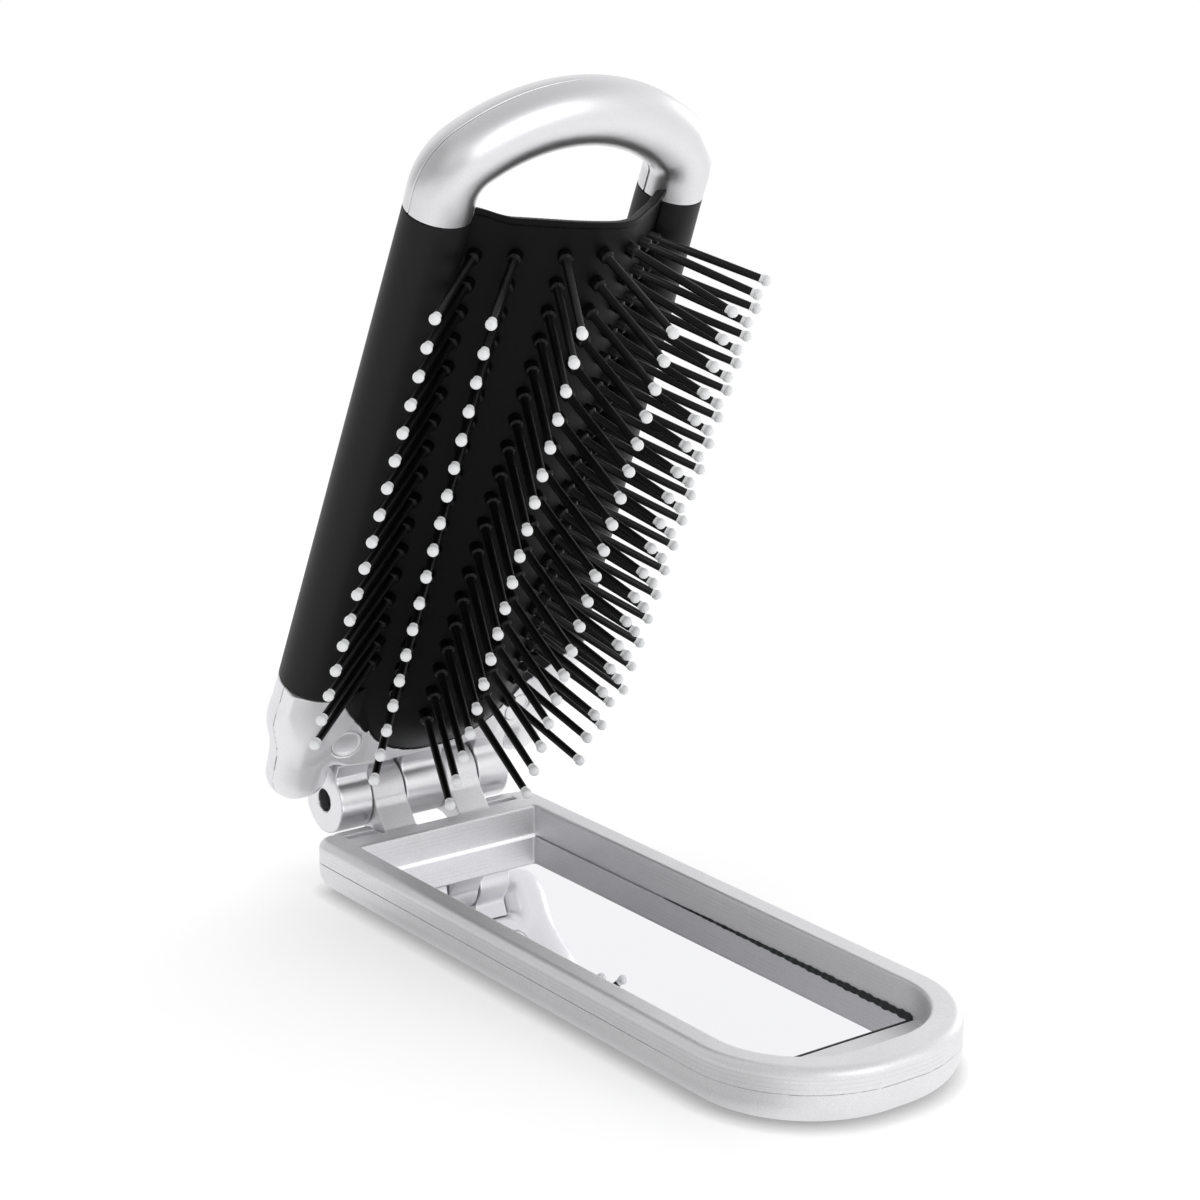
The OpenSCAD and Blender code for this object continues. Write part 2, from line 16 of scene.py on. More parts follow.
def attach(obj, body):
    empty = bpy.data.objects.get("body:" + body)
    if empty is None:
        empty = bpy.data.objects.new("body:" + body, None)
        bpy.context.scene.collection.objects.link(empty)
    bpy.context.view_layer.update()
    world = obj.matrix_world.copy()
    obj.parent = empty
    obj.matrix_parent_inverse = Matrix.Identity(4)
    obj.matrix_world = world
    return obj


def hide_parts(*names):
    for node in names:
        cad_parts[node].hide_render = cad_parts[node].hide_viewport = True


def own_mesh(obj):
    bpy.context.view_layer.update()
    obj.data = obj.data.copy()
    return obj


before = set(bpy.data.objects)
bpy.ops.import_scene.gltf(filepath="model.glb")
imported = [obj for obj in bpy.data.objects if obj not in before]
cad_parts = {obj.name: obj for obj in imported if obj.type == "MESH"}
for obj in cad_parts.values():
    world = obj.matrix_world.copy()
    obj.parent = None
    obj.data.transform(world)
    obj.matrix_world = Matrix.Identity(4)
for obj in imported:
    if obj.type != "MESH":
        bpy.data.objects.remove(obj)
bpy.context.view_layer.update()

Array = np.ndarray
Point = tuple[float, float, float]
Rgb = tuple[float, float, float]
Pair = tuple[float, float]
Table = tuple[Pair, ...]

MM = 0.001
WHITE = (1.0, 1.0, 1.0, 1.0)
GLOW_REACH = 0.0006
LOG = logging.getLogger("hairbrush")


class Body(str, Enum):
    """Names of material slots; each finish carries one, but nothing here reads it."""

    HANDLE = "handle"
    HEAD = "head"


class Slot(str, Enum):
    """The material slots that the pieces take their finish from."""

    SILVER = "silver_plastic"
    SOFT_BLACK = "soft_black"
    RUBBER = "pad_rubber"
    NYLON = "bristle_nylon"
    BEAD = "tip_white"
    MIRROR = "mirror_glass"
    FOAM = "foam_tape"
    STEEL = "pin_steel"
    CORE = "core_plastic"


# ---------------------------------------------------------------------------
# Places
# ---------------------------------------------------------------------------


@dataclass(frozen=True)
class HingeFrame:
    """Where the hinge axis lies, and the head's own axes: x across, y up the head, z to the bristles."""

    axis_y: float = 53.8
    axis_z: float = 11.0
    open_angle: float = 66.35

    @property
    def up(self) -> Vector:
        """Direction up the head, in the frame of the part."""
        turn = math.radians(self.open_angle)
        return Vector((0.0, -math.cos(turn), math.sin(turn)))

    @property
    def front(self) -> Vector:
        """Direction out of the bristle side, in the frame of the part."""
        turn = math.radians(self.open_angle)
        return Vector((0.0, -math.sin(turn), -math.cos(turn)))

    def turned(self, rows: Array) -> Array:
        """Directions on the head's axes, as directions in the frame of the part."""
        return rows @ np.array([(1.0, 0.0, 0.0), tuple(self.up), tuple(self.front)])

    def placed(self, rows: Array) -> Array:
        """Points on the head's axes, as points in the frame of the part, both in millimetres."""
        return self.turned(rows) + np.array([0.0, self.axis_y, self.axis_z])


HINGE = HingeFrame()


# ---------------------------------------------------------------------------
# Solids as signed distances
# ---------------------------------------------------------------------------


def round_max(a: Array, b: Array, r: Array | float) -> Array:
    """Overlap of two distances.

    Args:
        a: distances from one solid.
        b: distances from the other.
        r: radius of the outer edge where both meet, 0 for a sharp one.

    Returns:
        Distances from what both share.
    """
    if np.ndim(r) == 0 and r <= 0:
        return np.maximum(a, b)
    corner = np.hypot(np.maximum(r + a, 0.0), np.maximum(r + b, 0.0))
    return np.minimum(-r, np.maximum(a, b)) + corner


class Solid:
    """A solid given by a signed distance in millimetres, negative inside."""

    def __init__(self, distance: Callable[[Array, Array, Array], Array]) -> None:
        """Keeps the distance function."""
        self.distance = distance

    def __call__(self, x: Array, y: Array, z: Array) -> Array:
        """Distance at the given points."""
        return self.distance(x, y, z)

    def meet(self, other: Solid, r: float = 0.0) -> Solid:
        """What both solids share, its new edges rounded with radius r."""
        return Solid(lambda x, y, z: round_max(self(x, y, z), other(x, y, z), r))

    def join(self, other: Solid, r: float = 0.0) -> Solid:
        """Both solids together, with a fillet of radius r in the corner."""
        return Solid(lambda x, y, z: -round_max(-self(x, y, z), -other(x, y, z), r))

    def cut(self, other: Solid, r: float = 0.0) -> Solid:
        """This solid without the other, its new edges rounded with radius r."""
        return Solid(lambda x, y, z: round_max(self(x, y, z), -other(x, y, z), r))

    def grow(self, by: float) -> Solid:
        """The solid with its surface moved out."""
        return Solid(lambda x, y, z: self(x, y, z) - by)


class Axis(Enum):
    """An axis that planes are laid across, by its index."""

    Y = 1
    Z = 2


def above(axis: Axis, at: float) -> Solid:
    """Half-space above a plane across an axis."""
    return Solid(lambda x, y, z: at - (x, y, z)[axis.value])


def below(axis: Axis, at: float) -> Solid:
    """Half-space below a plane across an axis."""
    return Solid(lambda x, y, z: (x, y, z)[axis.value] - at)


def block(low: Point, high: Point, r: float = 0.0) -> Solid:
    """Box between two corners.

    Args:
        low: the corner with the lowest coordinates.
        high: the corner with the highest ones.
        r: radius of all edges.

    Returns:
        The box.
    """
    mid = [(a + b) / 2 for a, b in zip(low, high)]
    half = [(b - a) / 2 - r for a, b in zip(low, high)]

    def distance(x: Array, y: Array, z: Array) -> Array:
        """Distance from the box.

        Args:
            x: places along x.
            y: places along y.
            z: places along z.

        Returns:
            The distances.
        """
        q = [np.abs(p - m) - h for p, m, h in zip((x, y, z), mid, half)]
        outer = np.sqrt(sum(np.maximum(a, 0.0) ** 2 for a in q))
        return outer + np.minimum(np.maximum(np.maximum(q[0], q[1]), q[2]), 0.0) - r

    return Solid(distance)


def round_plan(half_w: float, y0: float, y1: float, r0: float, r1: float) -> Solid:
    """Upright prism over a rectangle about x = 0 with round corners.

    Args:
        half_w: half its width.
        y0: its lower end.
        y1: its upper end.
        r0: corner radius at the lower end.
        r1: corner radius at the upper end.

    Returns:
        The endless prism.
    """
    mid = (y0 + y1) / 2

    def distance(x: Array, y: Array, z: Array) -> Array:
        """Distance from the prism.

        Args:
            x: places along x.
            y: places along y.
            z: places along z.

        Returns:
            The distances.
        """
        r = np.where(y < mid, r0, r1)
        qx = np.abs(x) - (half_w - r)
        qy = np.where(y < mid, y0 + r - y, y - (y1 - r))
        inner = np.minimum(np.maximum(qx, qy), 0.0)
        return np.hypot(np.maximum(qx, 0.0), np.maximum(qy, 0.0)) + inner - r + 0.0 * z

    return Solid(distance)


def cylinder_x(y: float, z: float, r: float) -> Solid:
    """Endless cylinder along x."""
    return Solid(lambda x, v, f: np.hypot(v - y, f - z) - r + 0.0 * x)


def cylinder_z(cx: float, cy: float, r: float) -> Solid:
    """Endless cylinder along z, mirrored to both sides of x = 0."""
    return Solid(lambda x, y, z: np.hypot(np.abs(x) - cx, y - cy) - r + 0.0 * z)


def polygon_gap(ring: Array, p: Array, q: Array) -> Array:
    """Distance of points in a plane from a polygon's edge, negative inside.

    Args:
        ring: the polygon's corners.
        p: first coordinates of the points.
        q: second coordinates.

    Returns:
        The distances.
    """
    best = np.full(np.broadcast(p, q).shape, 1e18)
    inside = np.zeros(best.shape, bool)
    for a, b in zip(ring, np.roll(ring, -1, axis=0)):
        e = b - a
        dp, dq = p - a[0], q - a[1]
        t = np.clip((dp * e[0] + dq * e[1]) / (e @ e), 0.0, 1.0)
        best = np.minimum(best, (dp - t * e[0]) ** 2 + (dq - t * e[1]) ** 2)
        if e[1]:
            inside ^= ((dq < 0) != (q < b[1])) & (dp < dq * e[0] / e[1])
    return np.where(inside, -1.0, 1.0) * np.sqrt(best)


def polygon_x(points: Sequence[Pair]) -> Solid:
    """Endless prism along x over a polygon in the y-z plane."""
    ring = np.array(points, float)
    return Solid(lambda x, y, z: polygon_gap(ring, y, z) + 0.0 * x)


def weights(t: Array | float) -> tuple[Array | float, ...]:
    """Weights of a smooth stretch's two ends and of the slopes there, at a share t of its length."""
    return 2 * t**3 - 3 * t**2 + 1, t**3 - 2 * t**2 + t, 3 * t**2 - 2 * t**3, t**3 - t**2


def curve(table: Sequence[Pair], at: Array | float) -> Array:
    """Smooth curve through given values.

    Args:
        table: places and the values there.
        at: the places asked for.

    Returns:
        The value at each of them, level beyond the table's ends.
    """
    places = np.array([a for a, _ in table])
    values = np.array([b for _, b in table])
    slopes = np.gradient(values, places)
    at = np.clip(at, places[0], places[-1])
    i = np.clip(np.searchsorted(places, at) - 1, 0, len(places) - 2)
    h = places[i + 1] - places[i]
    a, b, c, d = weights((at - places[i]) / h)
    return (a * values[i] + b * h * slopes[i]) + (c * values[i + 1] + d * h * slopes[i + 1])


def ease(x: Array, low: float, high: float) -> Array:
    """0 below low and 1 above high, smooth between."""
    t = np.clip((x - low) / (high - low), 0.0, 1.0)
    return t * t * (3.0 - 2.0 * t)


def smooth_path(points: Sequence[Pair], steps: int = 2) -> Array:
    """Smooth open path through given points.

    Args:
        points: the points (x, y).
        steps: how many pieces each stretch between two of them is divided into.

    Returns:
        Points of the path.
    """
    given = np.array(points, float)
    slopes = np.gradient(given, axis=0)
    out = []
    for i in range(len(given) - 1):
        for t in np.linspace(0.0, 1.0, steps, endpoint=False):
            a, b, c, d = weights(t)
            out.append(a * given[i] + b * slopes[i] + c * given[i + 1] + d * slopes[i + 1])
    return np.array([*out, given[-1]])


def between(solid: Solid, x0: float, x1: float, r: float) -> Solid:
    """The part of a solid between two distances from x = 0, on both sides.

    Args:
        solid: the solid.
        x0: the nearer distance.
        x1: the farther one.
        r: radius of the edges at its ends.

    Returns:
        Both slices.
    """
    mid, half = (x0 + x1) / 2, (x1 - x0) / 2
    band = Solid(lambda x, y, z: np.abs(np.abs(x) - mid) - half + 0.0 * y)
    return solid.meet(band, r)


# ---------------------------------------------------------------------------
# Meshes
# ---------------------------------------------------------------------------


@dataclass
class Skin:
    """Vertices in millimetres, faces and, where they are known, normals."""

    points: Array
    faces: list[Sequence[int]] | Array
    normals: Array | None = None

    def moved(self, base: int) -> list[list[int]]:
        """Faces with their vertex numbers raised by base."""
        return [[i + base for i in face] for face in self.faces]


def merge(skins: Iterable[Skin]) -> Skin:
    """Joins skins.

    Args:
        skins: the skins, which don't share vertices.

    Returns:
        All of them as one.
    """
    points: list[Array] = []
    faces: list[list[int]] = []
    base = 0
    for skin in skins:
        faces.extend(skin.moved(base))
        points.append(skin.points)
        base += len(skin.points)
    return Skin(np.concatenate(points), faces)


def stations(*marks: Pair, end: float) -> Array:
    """Grid lines with a step that changes at each mark.

    Args:
        marks: pairs of a place and the step that holds from there on.
        end: place of the last line.

    Returns:
        Sorted positions in millimetres.
    """
    out: list[float] = []
    for (a, step), b in zip(marks, [*(place for place, _ in marks[1:]), end]):
        count = max(1, round((b - a) / step))
        out.extend(np.linspace(a, b, count, endpoint=False))
    return np.array([*out, end])


def rimmed(low: float, high: float, step: float, out: float = 0.2, into: float = 0.4) -> Array:
    """Grid lines over a plain stretch, close together at its two edges.

    Args:
        low: the lower edge.
        high: the upper edge.
        step: step between the edges.
        out: how far the lines reach beyond each edge.
        into: how far inwards they stay close.

    Returns:
        Sorted positions in millimetres.
    """
    marks = ((low - out, EDGE_STEP), (low + into, step), (high - into, EDGE_STEP))
    return stations(*marks, end=high + out)


def both_sides(half: Array) -> Array:
    """Grid lines for both sides of 0, from those of one side."""
    return np.concatenate([-half[half > 1e-6][::-1], half])


def gradient(solid: Solid, p: Array, h: float = 0.01) -> Array:
    """Direction in which a solid's distance grows fastest.

    Args:
        solid: the solid.
        p: the points, one a row.
        h: half the step over which the distance is compared, in millimetres.

    Returns:
        A unit vector for each point.
    """
    g = np.empty_like(p)
    for axis in range(3):
        step = np.zeros(3)
        step[axis] = h
        g[:, axis] = solid(*(p + step).T) - solid(*(p - step).T)
    return g / np.maximum(np.linalg.norm(g, axis=1, keepdims=True), 1e-12)


# A skin's points settle on the surface in a few steps, each at most so many millimetres long.
SETTLES = 3
PROBE = 0.004
MOST_MOVE = 0.3
# Step between grid lines across a fine edge.
EDGE_STEP = 0.06
# The four cells that meet along an edge of the grid, in turn round it.
CELLS_ROUND = ((1, 1), (0, 1), (0, 0), (1, 0))


def beside(at: Array, axis: int, back_b: int, back_c: int) -> tuple[Array, ...]:
    """Cells that share grid edges along an axis.

    Args:
        at: where the edges start, one a row.
        axis: the axis that they run along.
        back_b: how many cells to step back along the next axis.
        back_c: how many along the one after it.

    Returns:
        Indices of the cells.
    """
    cell = at.copy()
    cell[:, (axis + 1) % 3] -= back_b
    cell[:, (axis + 2) % 3] -= back_c
    return tuple(cell.T)


def skin_of(solid: Solid, xs: Array, ys: Array, zs: Array) -> Skin:
    """Closed quad mesh of a solid, one vertex in each cell that its surface crosses.

    Args:
        solid: the solid, which lies wholly inside the grid.
        xs: grid lines across x.
        ys: grid lines across y.
        zs: grid lines across z.

    Returns:
        The skin, its points on the surface and its normals square to it.
    """
    lines = (xs, ys, zs)
    value = solid(xs[:, None, None], ys[None, :, None], zs[None, None, :])
    value = np.array(np.broadcast_to(value, tuple(len(a) for a in lines)))
    inside = value < 0
    cells = tuple(len(a) - 1 for a in lines)
    total = np.zeros((*cells, 3))
    count = np.zeros(cells, int)
    edges: list[tuple[int, Array, Array]] = []
    for axis in range(3):
        low = [slice(None)] * 3
        high = [slice(None)] * 3
        low[axis], high[axis] = slice(None, -1), slice(1, None)
        at = np.argwhere(inside[tuple(low)] != inside[tuple(high)])
        if not len(at):
            continue
        far = at.copy()
        far[:, axis] += 1
        v0, v1 = value[tuple(at.T)], value[tuple(far.T)]
        t = v0 / (v0 - v1)
        cross = np.stack([lines[d][at[:, d]] for d in range(3)], axis=1).astype(float)
        cross[:, axis] += t * (lines[axis][far[:, axis]] - lines[axis][at[:, axis]])
        edges.append((axis, at, v0 < 0))
        for shift in CELLS_ROUND:
            cell = beside(at, axis, *shift)
            np.add.at(total, cell, cross)
            np.add.at(count, cell, 1)
    used = count > 0
    number = np.full(cells, -1)
    number[used] = np.arange(used.sum())
    points = total[used] / count[used][:, None]
    quads: list[Array] = []
    for axis, at, outward in edges:
        ring = np.stack([number[beside(at, axis, *shift)] for shift in CELLS_ROUND], axis=1)
        ring[~outward] = ring[~outward][:, ::-1]
        quads.append(ring)
    for _ in range(SETTLES):
        d = solid(*points.T)
        slope = np.stack([solid(*(points + step).T) - d for step in np.eye(3) * PROBE], axis=1)
        size = np.maximum(np.linalg.norm(slope, axis=1, keepdims=True), 1e-9)
        points = points - np.clip(d, -MOST_MOVE, MOST_MOVE)[:, None] * slope / size
    return Skin(points, np.concatenate(quads), gradient(solid, points))


def lathe(profile: Sequence[Pair], start: Array, along: Array, sides: int) -> Skin:
    """Closed turned piece with a point at each end.

    Args:
        profile: radius and height of each ring, its first and last radius 0.
        start: place of height 0.
        along: unit direction of the axis.
        sides: how many sides each ring has.

    Returns:
        The skin of the piece.
    """
    helper = np.array([1.0, 0.0, 0.0]) if abs(along[0]) < 0.9 else np.array([0.0, 1.0, 0.0])
    u = np.cross(along, helper)
    u /= np.linalg.norm(u)
    w = np.cross(along, u)
    turn = np.linspace(0, 2 * math.pi, sides, endpoint=False)
    spokes = np.cos(turn)[:, None] * u + np.sin(turn)[:, None] * w
    points = [start + along * profile[0][1]]
    for r, h in profile[1:-1]:
        points.extend(start + along * h + r * spokes)
    points.append(start + along * profile[-1][1])
    faces: list[list[int]] = []
    rings = len(profile) - 2
    last = 1 + (rings - 1) * sides
    for k in range(sides):
        n = (k + 1) % sides
        faces.append([0, 1 + n, 1 + k])
        for a in range(1, last, sides):
            faces.append([a + k, a + n, a + sides + n, a + sides + k])
        faces.append([last + k, last + n, len(points) - 1])
    return Skin(np.array(points), faces)


def sweep(section: Array, places: Array, across: Array) -> Skin:
    """Closed section carried along a path in the plane z = 0.

    Args:
        section: points (outwards, z) of a closed ring, turning anticlockwise.
        places: points (x, y) of the path.
        across: unit normal (x, y) of the path at each place, to the outside.

    Returns:
        The skin, closed at both ends.
    """
    rings = [
        np.column_stack([p[0] + section[:, 0] * n[0], p[1] + section[:, 0] * n[1], section[:, 1]])
        for p, n in zip(places, across)
    ]
    size = len(section)
    faces: list[list[int]] = []
    last = (len(rings) - 1) * size
    for a in range(0, last, size):
        for k in range(size):
            n = (k + 1) % size
            faces.append([a + k, a + n, a + size + n, a + size + k])
    faces.append(list(range(size))[::-1])
    faces.append(list(range(last, last + size)))
    return Skin(np.concatenate(rings), faces)


# ---------------------------------------------------------------------------
# Shader graphs
# ---------------------------------------------------------------------------


class Wire:
    """A node's output that takes part in sums like a number."""

    def __init__(self, graph: Graph, socket: bpy.types.NodeSocket) -> None:
        """Keeps the socket and the graph it belongs to."""
        self.graph = graph
        self.socket = socket

    def _math(self, operation: str, a: Any, b: Any = None) -> Wire:
        """Adds one Math node."""
        inputs = {0: a} if b is None else {0: a, 1: b}
        return self.graph.out("ShaderNodeMath", {"operation": operation}, inputs)

    def __add__(self, other: Wire | float) -> Wire:
        """This plus other."""
        return self._math("ADD", self, other)

    __radd__ = __add__

    def __sub__(self, other: Wire | float) -> Wire:
        """This minus other."""
        return self._math("SUBTRACT", self, other)

    def __rsub__(self, other: float) -> Wire:
        """Other minus this."""
        return self._math("SUBTRACT", other, self)

    def __mul__(self, other: Wire | float) -> Wire:
        """This times other."""
        return self._math("MULTIPLY", self, other)

    __rmul__ = __mul__

    def __truediv__(self, other: Wire | float) -> Wire:
        """This over other."""
        return self._math("DIVIDE", self, other)

    def __pow__(self, other: float) -> Wire:
        """This to a power."""
        return self._math("POWER", self, other)

    def __abs__(self) -> Wire:
        """Size without sign."""
        return self._math("ABSOLUTE", self)

    def highest(self, other: Wire | float) -> Wire:
        """The greater of the two."""
        return self._math("MAXIMUM", self, other)

    def dimmed(self, mask: Wire, to: float) -> Wire:
        """This where the mask is 0, and times to where it is 1."""
        return self * (mask * (to - 1.0) + 1.0)

    def ramp(self, low: float, high: float) -> Wire:
        """0 below low and 1 above high, smooth between."""
        settings = {"interpolation_type": "SMOOTHSTEP"}
        return self.graph.out("ShaderNodeMapRange", settings, {0: self, 1: low, 2: high})


class Graph:
    """The node tree of one material or world."""

    def __init__(self, owner: bpy.types.Material | bpy.types.World) -> None:
        """Empties the tree.

        Args:
            owner: the material or world that it belongs to.
        """
        owner.use_nodes = True
        self.tree = owner.node_tree
        self.tree.nodes.clear()

    def node(
        self, kind: str, settings: dict[str, Any] | None = None, inputs: dict[Any, Any] | None = None
    ) -> bpy.types.Node:
        """Adds any node.

        Args:
            kind: the node's type.
            settings: its properties, set before its inputs.
            inputs: a number, colour, Wire or shader for each socket, by name or index.

        Returns:
            The node.
        """
        made = self.tree.nodes.new(kind)
        for name, value in (settings or {}).items():
            setattr(made, name, value)
        for name, value in (inputs or {}).items():
            socket = made.inputs[name]
            source = value.socket if isinstance(value, Wire) else value
            if isinstance(source, bpy.types.NodeSocket):
                self.tree.links.new(source, socket)
            else:
                socket.default_value = source
        return made

    def out(
        self,
        kind: str,
        settings: dict[str, Any] | None = None,
        inputs: dict[Any, Any] | None = None,
        output: int | str = 0,
    ) -> Wire:
        """Adds any node and gives one of its outputs.

        Args:
            kind: the node's type.
            settings: its properties.
            inputs: what goes into its sockets.
            output: name or index of the output.

        Returns:
            The output.
        """
        return Wire(self, self.node(kind, settings, inputs).outputs[output])

    def place(self) -> Wire:
        """Place on the object, in metres."""
        return self.out("ShaderNodeTexCoord", output="Object")

    def axis(self, place: Wire, name: str) -> Wire:
        """One coordinate of a place, in metres."""
        return self.out("ShaderNodeSeparateXYZ", None, {0: place}, name)

    def along(self, place: Wire, way: tuple[float, float]) -> Wire:
        """How far a place lies along a level direction."""
        return self.axis(place, "X") * way[0] + self.axis(place, "Y") * way[1]

    def rays(self, *kinds: str) -> list[Wire]:
        """For each kind of ray, 1 where the surface is seen by it."""
        path = self.node("ShaderNodeLightPath")
        return [Wire(self, path.outputs[f"Is {kind} Ray"]) for kind in kinds]

    def noise(self, place: Wire, scale: float, detail: float = 3.0, rough: float = 0.5) -> Wire:
        """Noise from 0 to 1, with scale bumps to the metre."""
        inputs = {"Vector": place, "Scale": scale, "Detail": detail, "Roughness": rough}
        return self.out("ShaderNodeTexNoise", None, inputs, "Fac")

    def blend(self, amount: Wire, low: Rgb, high: Rgb) -> Wire:
        """Colour between two, by an amount from 0 to 1."""
        inputs = {0: amount, 6: (*low, 1.0), 7: (*high, 1.0)}
        return self.out("ShaderNodeMix", {"data_type": "RGBA"}, inputs, 2)

    def bump(self, height: Wire, depth: float) -> Wire:
        """Normal of a surface raised by height, where 1 stands depth metres high."""
        inputs = {"Height": height, "Distance": depth, "Strength": 1.0}
        return self.out("ShaderNodeBump", None, inputs, "Normal")


# ---------------------------------------------------------------------------
# Finishes
# ---------------------------------------------------------------------------


@dataclass(frozen=True)
class Finish:
    """A moulded surface: colour, gloss, and a fine grain in both."""

    name: str
    slot: Slot
    dark: Rgb
    light: Rgb
    rough: float
    rough_spread: float = 0.05
    metal: float = 0.0
    specular: float = 0.5
    coat: float = 0.0
    grain: float = 900.0
    depth: float = 0.00001
    glow: float = 0.0
    # Emission strength for a surface that glows though it is no lamp: painted light.
    lit: float = 0.0

    def detail(self, graph: Graph, place: Wire) -> tuple[Wire, Wire, Wire]:
        """Amounts for colour, gloss and height at a place.

        Args:
            graph: the material's graph.
            place: where on the object.

        Returns:
            Colour amount, gloss amount and height, each from 0 to 1.
        """
        fine = graph.noise(place, self.grain, 4.0, 0.6)
        broad = graph.noise(place, self.grain / 18, 2.0)
        return broad * 0.5 + fine * 0.5, fine, fine

    def material(self) -> bpy.types.Material:
        """Builds the material, once.

        Returns:
            The material of this finish.
        """
        known = bpy.data.materials.get(self.name)
        if known is not None:
            return known
        made = bpy.data.materials.new(self.name)
        graph = Graph(made)
        colour, gloss, height = self.detail(graph, graph.place())
        inputs: dict[Any, Any] = {
            "Base Color": graph.blend(colour, self.dark, self.light),
            "Roughness": gloss * self.rough_spread + (self.rough - self.rough_spread / 2),
            "Metallic": self.metal,
            "Specular IOR Level": self.specular,
            "Coat Weight": self.coat,
            "Normal": graph.bump(height, self.depth),
        }
        # Emission paints light onto the surface; it is no lamp.
        if self.lit:
            inputs["Emission Color"] = (*self.light, 1.0)
            inputs["Emission Strength"] = self.lit
        if self.glow:
            inputs["Subsurface Weight"] = self.glow
            inputs["Subsurface Radius"] = (GLOW_REACH, GLOW_REACH, GLOW_REACH)
        shader = graph.node("ShaderNodeBsdfPrincipled", None, inputs)
        graph.node("ShaderNodeOutputMaterial", None, {"Surface": shader.outputs[0]})
        return made


@dataclass(frozen=True)
class SatinSilver(Finish):
    """Silver lacquer over plastic: fine bright flakes on a satin ground, and faint level lines."""

    flake: float = 5200.0
    flake_edge: Pair = (0.35, 0.75)
    flake_tone: float = 0.6
    flake_lift: float = 0.3
    clouds: float = 120.0
    lines: tuple[float, ...] = ()
    line_edge: Pair = (0.00002, 0.00009)
    line_wave: float = 0.0002
    wave_scale: float = 40.0
    line_gaps: Pair = (0.35, 0.60)
    gap_scale: float = 260.0
    line_depth: float = 0.8

    def detail(self, graph: Graph, place: Wire) -> tuple[Wire, Wire, Wire]:
        """Flakes and level lines in the colour, a soft orange peel in the height.

        Args:
            graph: the material's graph.
            place: where on the object.

        Returns:
            Colour amount, gloss amount and height.
        """
        flakes = graph.noise(place, self.flake, 2.0, 0.7).ramp(*self.flake_edge)
        broad = graph.noise(place, self.clouds, 2.0)
        peel = graph.noise(place, self.grain, 3.0, 0.55)
        colour = flakes * self.flake_tone + broad * (1.0 - self.flake_tone)
        height = peel * (1.0 - self.flake_lift) + flakes * self.flake_lift
        if self.lines:
            wave = graph.noise(place, self.wave_scale, 1.0)
            z = graph.axis(place, "Z") + (wave - 0.5) * self.line_wave
            patchy = graph.noise(place, self.gap_scale, 2.0).ramp(*self.line_gaps)
            for line in self.lines:
                groove = (1.0 - abs(z - line * MM).ramp(*self.line_edge)) * patchy * self.line_depth
                colour, height = colour - groove, height - groove
        return colour, peel, height


SILVER = SatinSilver(
    "silver lacquer",
    Slot.SILVER,
    (0.77, 0.765, 0.78),
    (0.92, 0.915, 0.93),
    0.46,
    0.12,
    metal=0.65,
    depth=0.000008,
    lines=(4.95, 5.5, 6.05),
)
BRIGHT = SatinSilver(
    "silver lacquer, head",
    Slot.SILVER,
    (0.74, 0.735, 0.755),
    (0.81, 0.805, 0.825),
    0.30,
    0.06,
    metal=1.0,
    depth=0.000002,
)
ARCH = SatinSilver(
    "silver lacquer, loop",
    Slot.SILVER,
    (0.74, 0.735, 0.75),
    (0.82, 0.815, 0.83),
    0.35,
    0.10,
    metal=1.0,
    depth=0.000003,
)
# The same lacquer as the back shell (BRIGHT), but lighter and less metallic: painted light on the front
# shell and plugs, which reflect the shaded floor.
LIGHTENED_SHELL = SatinSilver(
    "silver lacquer, base, painted lighter",
    Slot.SILVER,
    (0.84, 0.835, 0.85),
    (0.91, 0.905, 0.92),
    0.34,
    0.06,
    metal=0.6,
    depth=0.000002,
)
SOFT_TOUCH = Finish(
    "soft-touch black",
    Slot.SOFT_BLACK,
    (0.007, 0.007, 0.007),
    (0.013, 0.013, 0.0135),
    0.45,
    0.10,
    specular=0.20,
)
RUBBER = Finish(
    "pad rubber",
    Slot.RUBBER,
    (0.0015, 0.0015, 0.0015),
    (0.0035, 0.0035, 0.004),
    0.46,
    0.10,
    specular=0.14,
)
NYLON = Finish(
    "black nylon",
    Slot.NYLON,
    (0.001, 0.001, 0.001),
    (0.003, 0.003, 0.003),
    0.30,
    0.06,
    specular=0.24,
    grain=2500.0,
)
BEAD = Finish(
    "white bead",
    Slot.BEAD,
    (0.90, 0.91, 0.92),
    (0.95, 0.96, 0.97),
    0.38,
    0.08,
    grain=2500.0,
    glow=0.15,
)
GLASS = Finish(
    "mirror glass",
    Slot.MIRROR,
    (0.90, 0.90, 0.925),
    (0.92, 0.92, 0.945),
    0.012,
    0.006,
    metal=1.0,
    grain=60.0,
    depth=0.0000002,
)
# The ground edge's own pale colour, with a glow that is a painted highlight; the edge is no lamp.
EDGE_PAINTED_HIGHLIGHT = Finish(
    "ground glass edge, painted highlight",
    Slot.MIRROR,
    (0.95, 0.96, 0.96),
    (0.98, 0.98, 0.98),
    0.3,
    0.1,
    grain=3000.0,
    lit=0.5,
)
BLACK_GLUE = Finish(
    "black glue",
    Slot.FOAM,
    (0.004, 0.005, 0.005),
    (0.03, 0.035, 0.035),
    0.35,
    0.2,
    specular=0.4,
    grain=1800.0,
    depth=0.0002,
)
FOAM = Finish(
    "foam tape",
    Slot.FOAM,
    (0.010, 0.010, 0.010),
    (0.04, 0.04, 0.04),
    0.9,
    0.1,
    grain=3000.0,
    depth=0.00005,
)
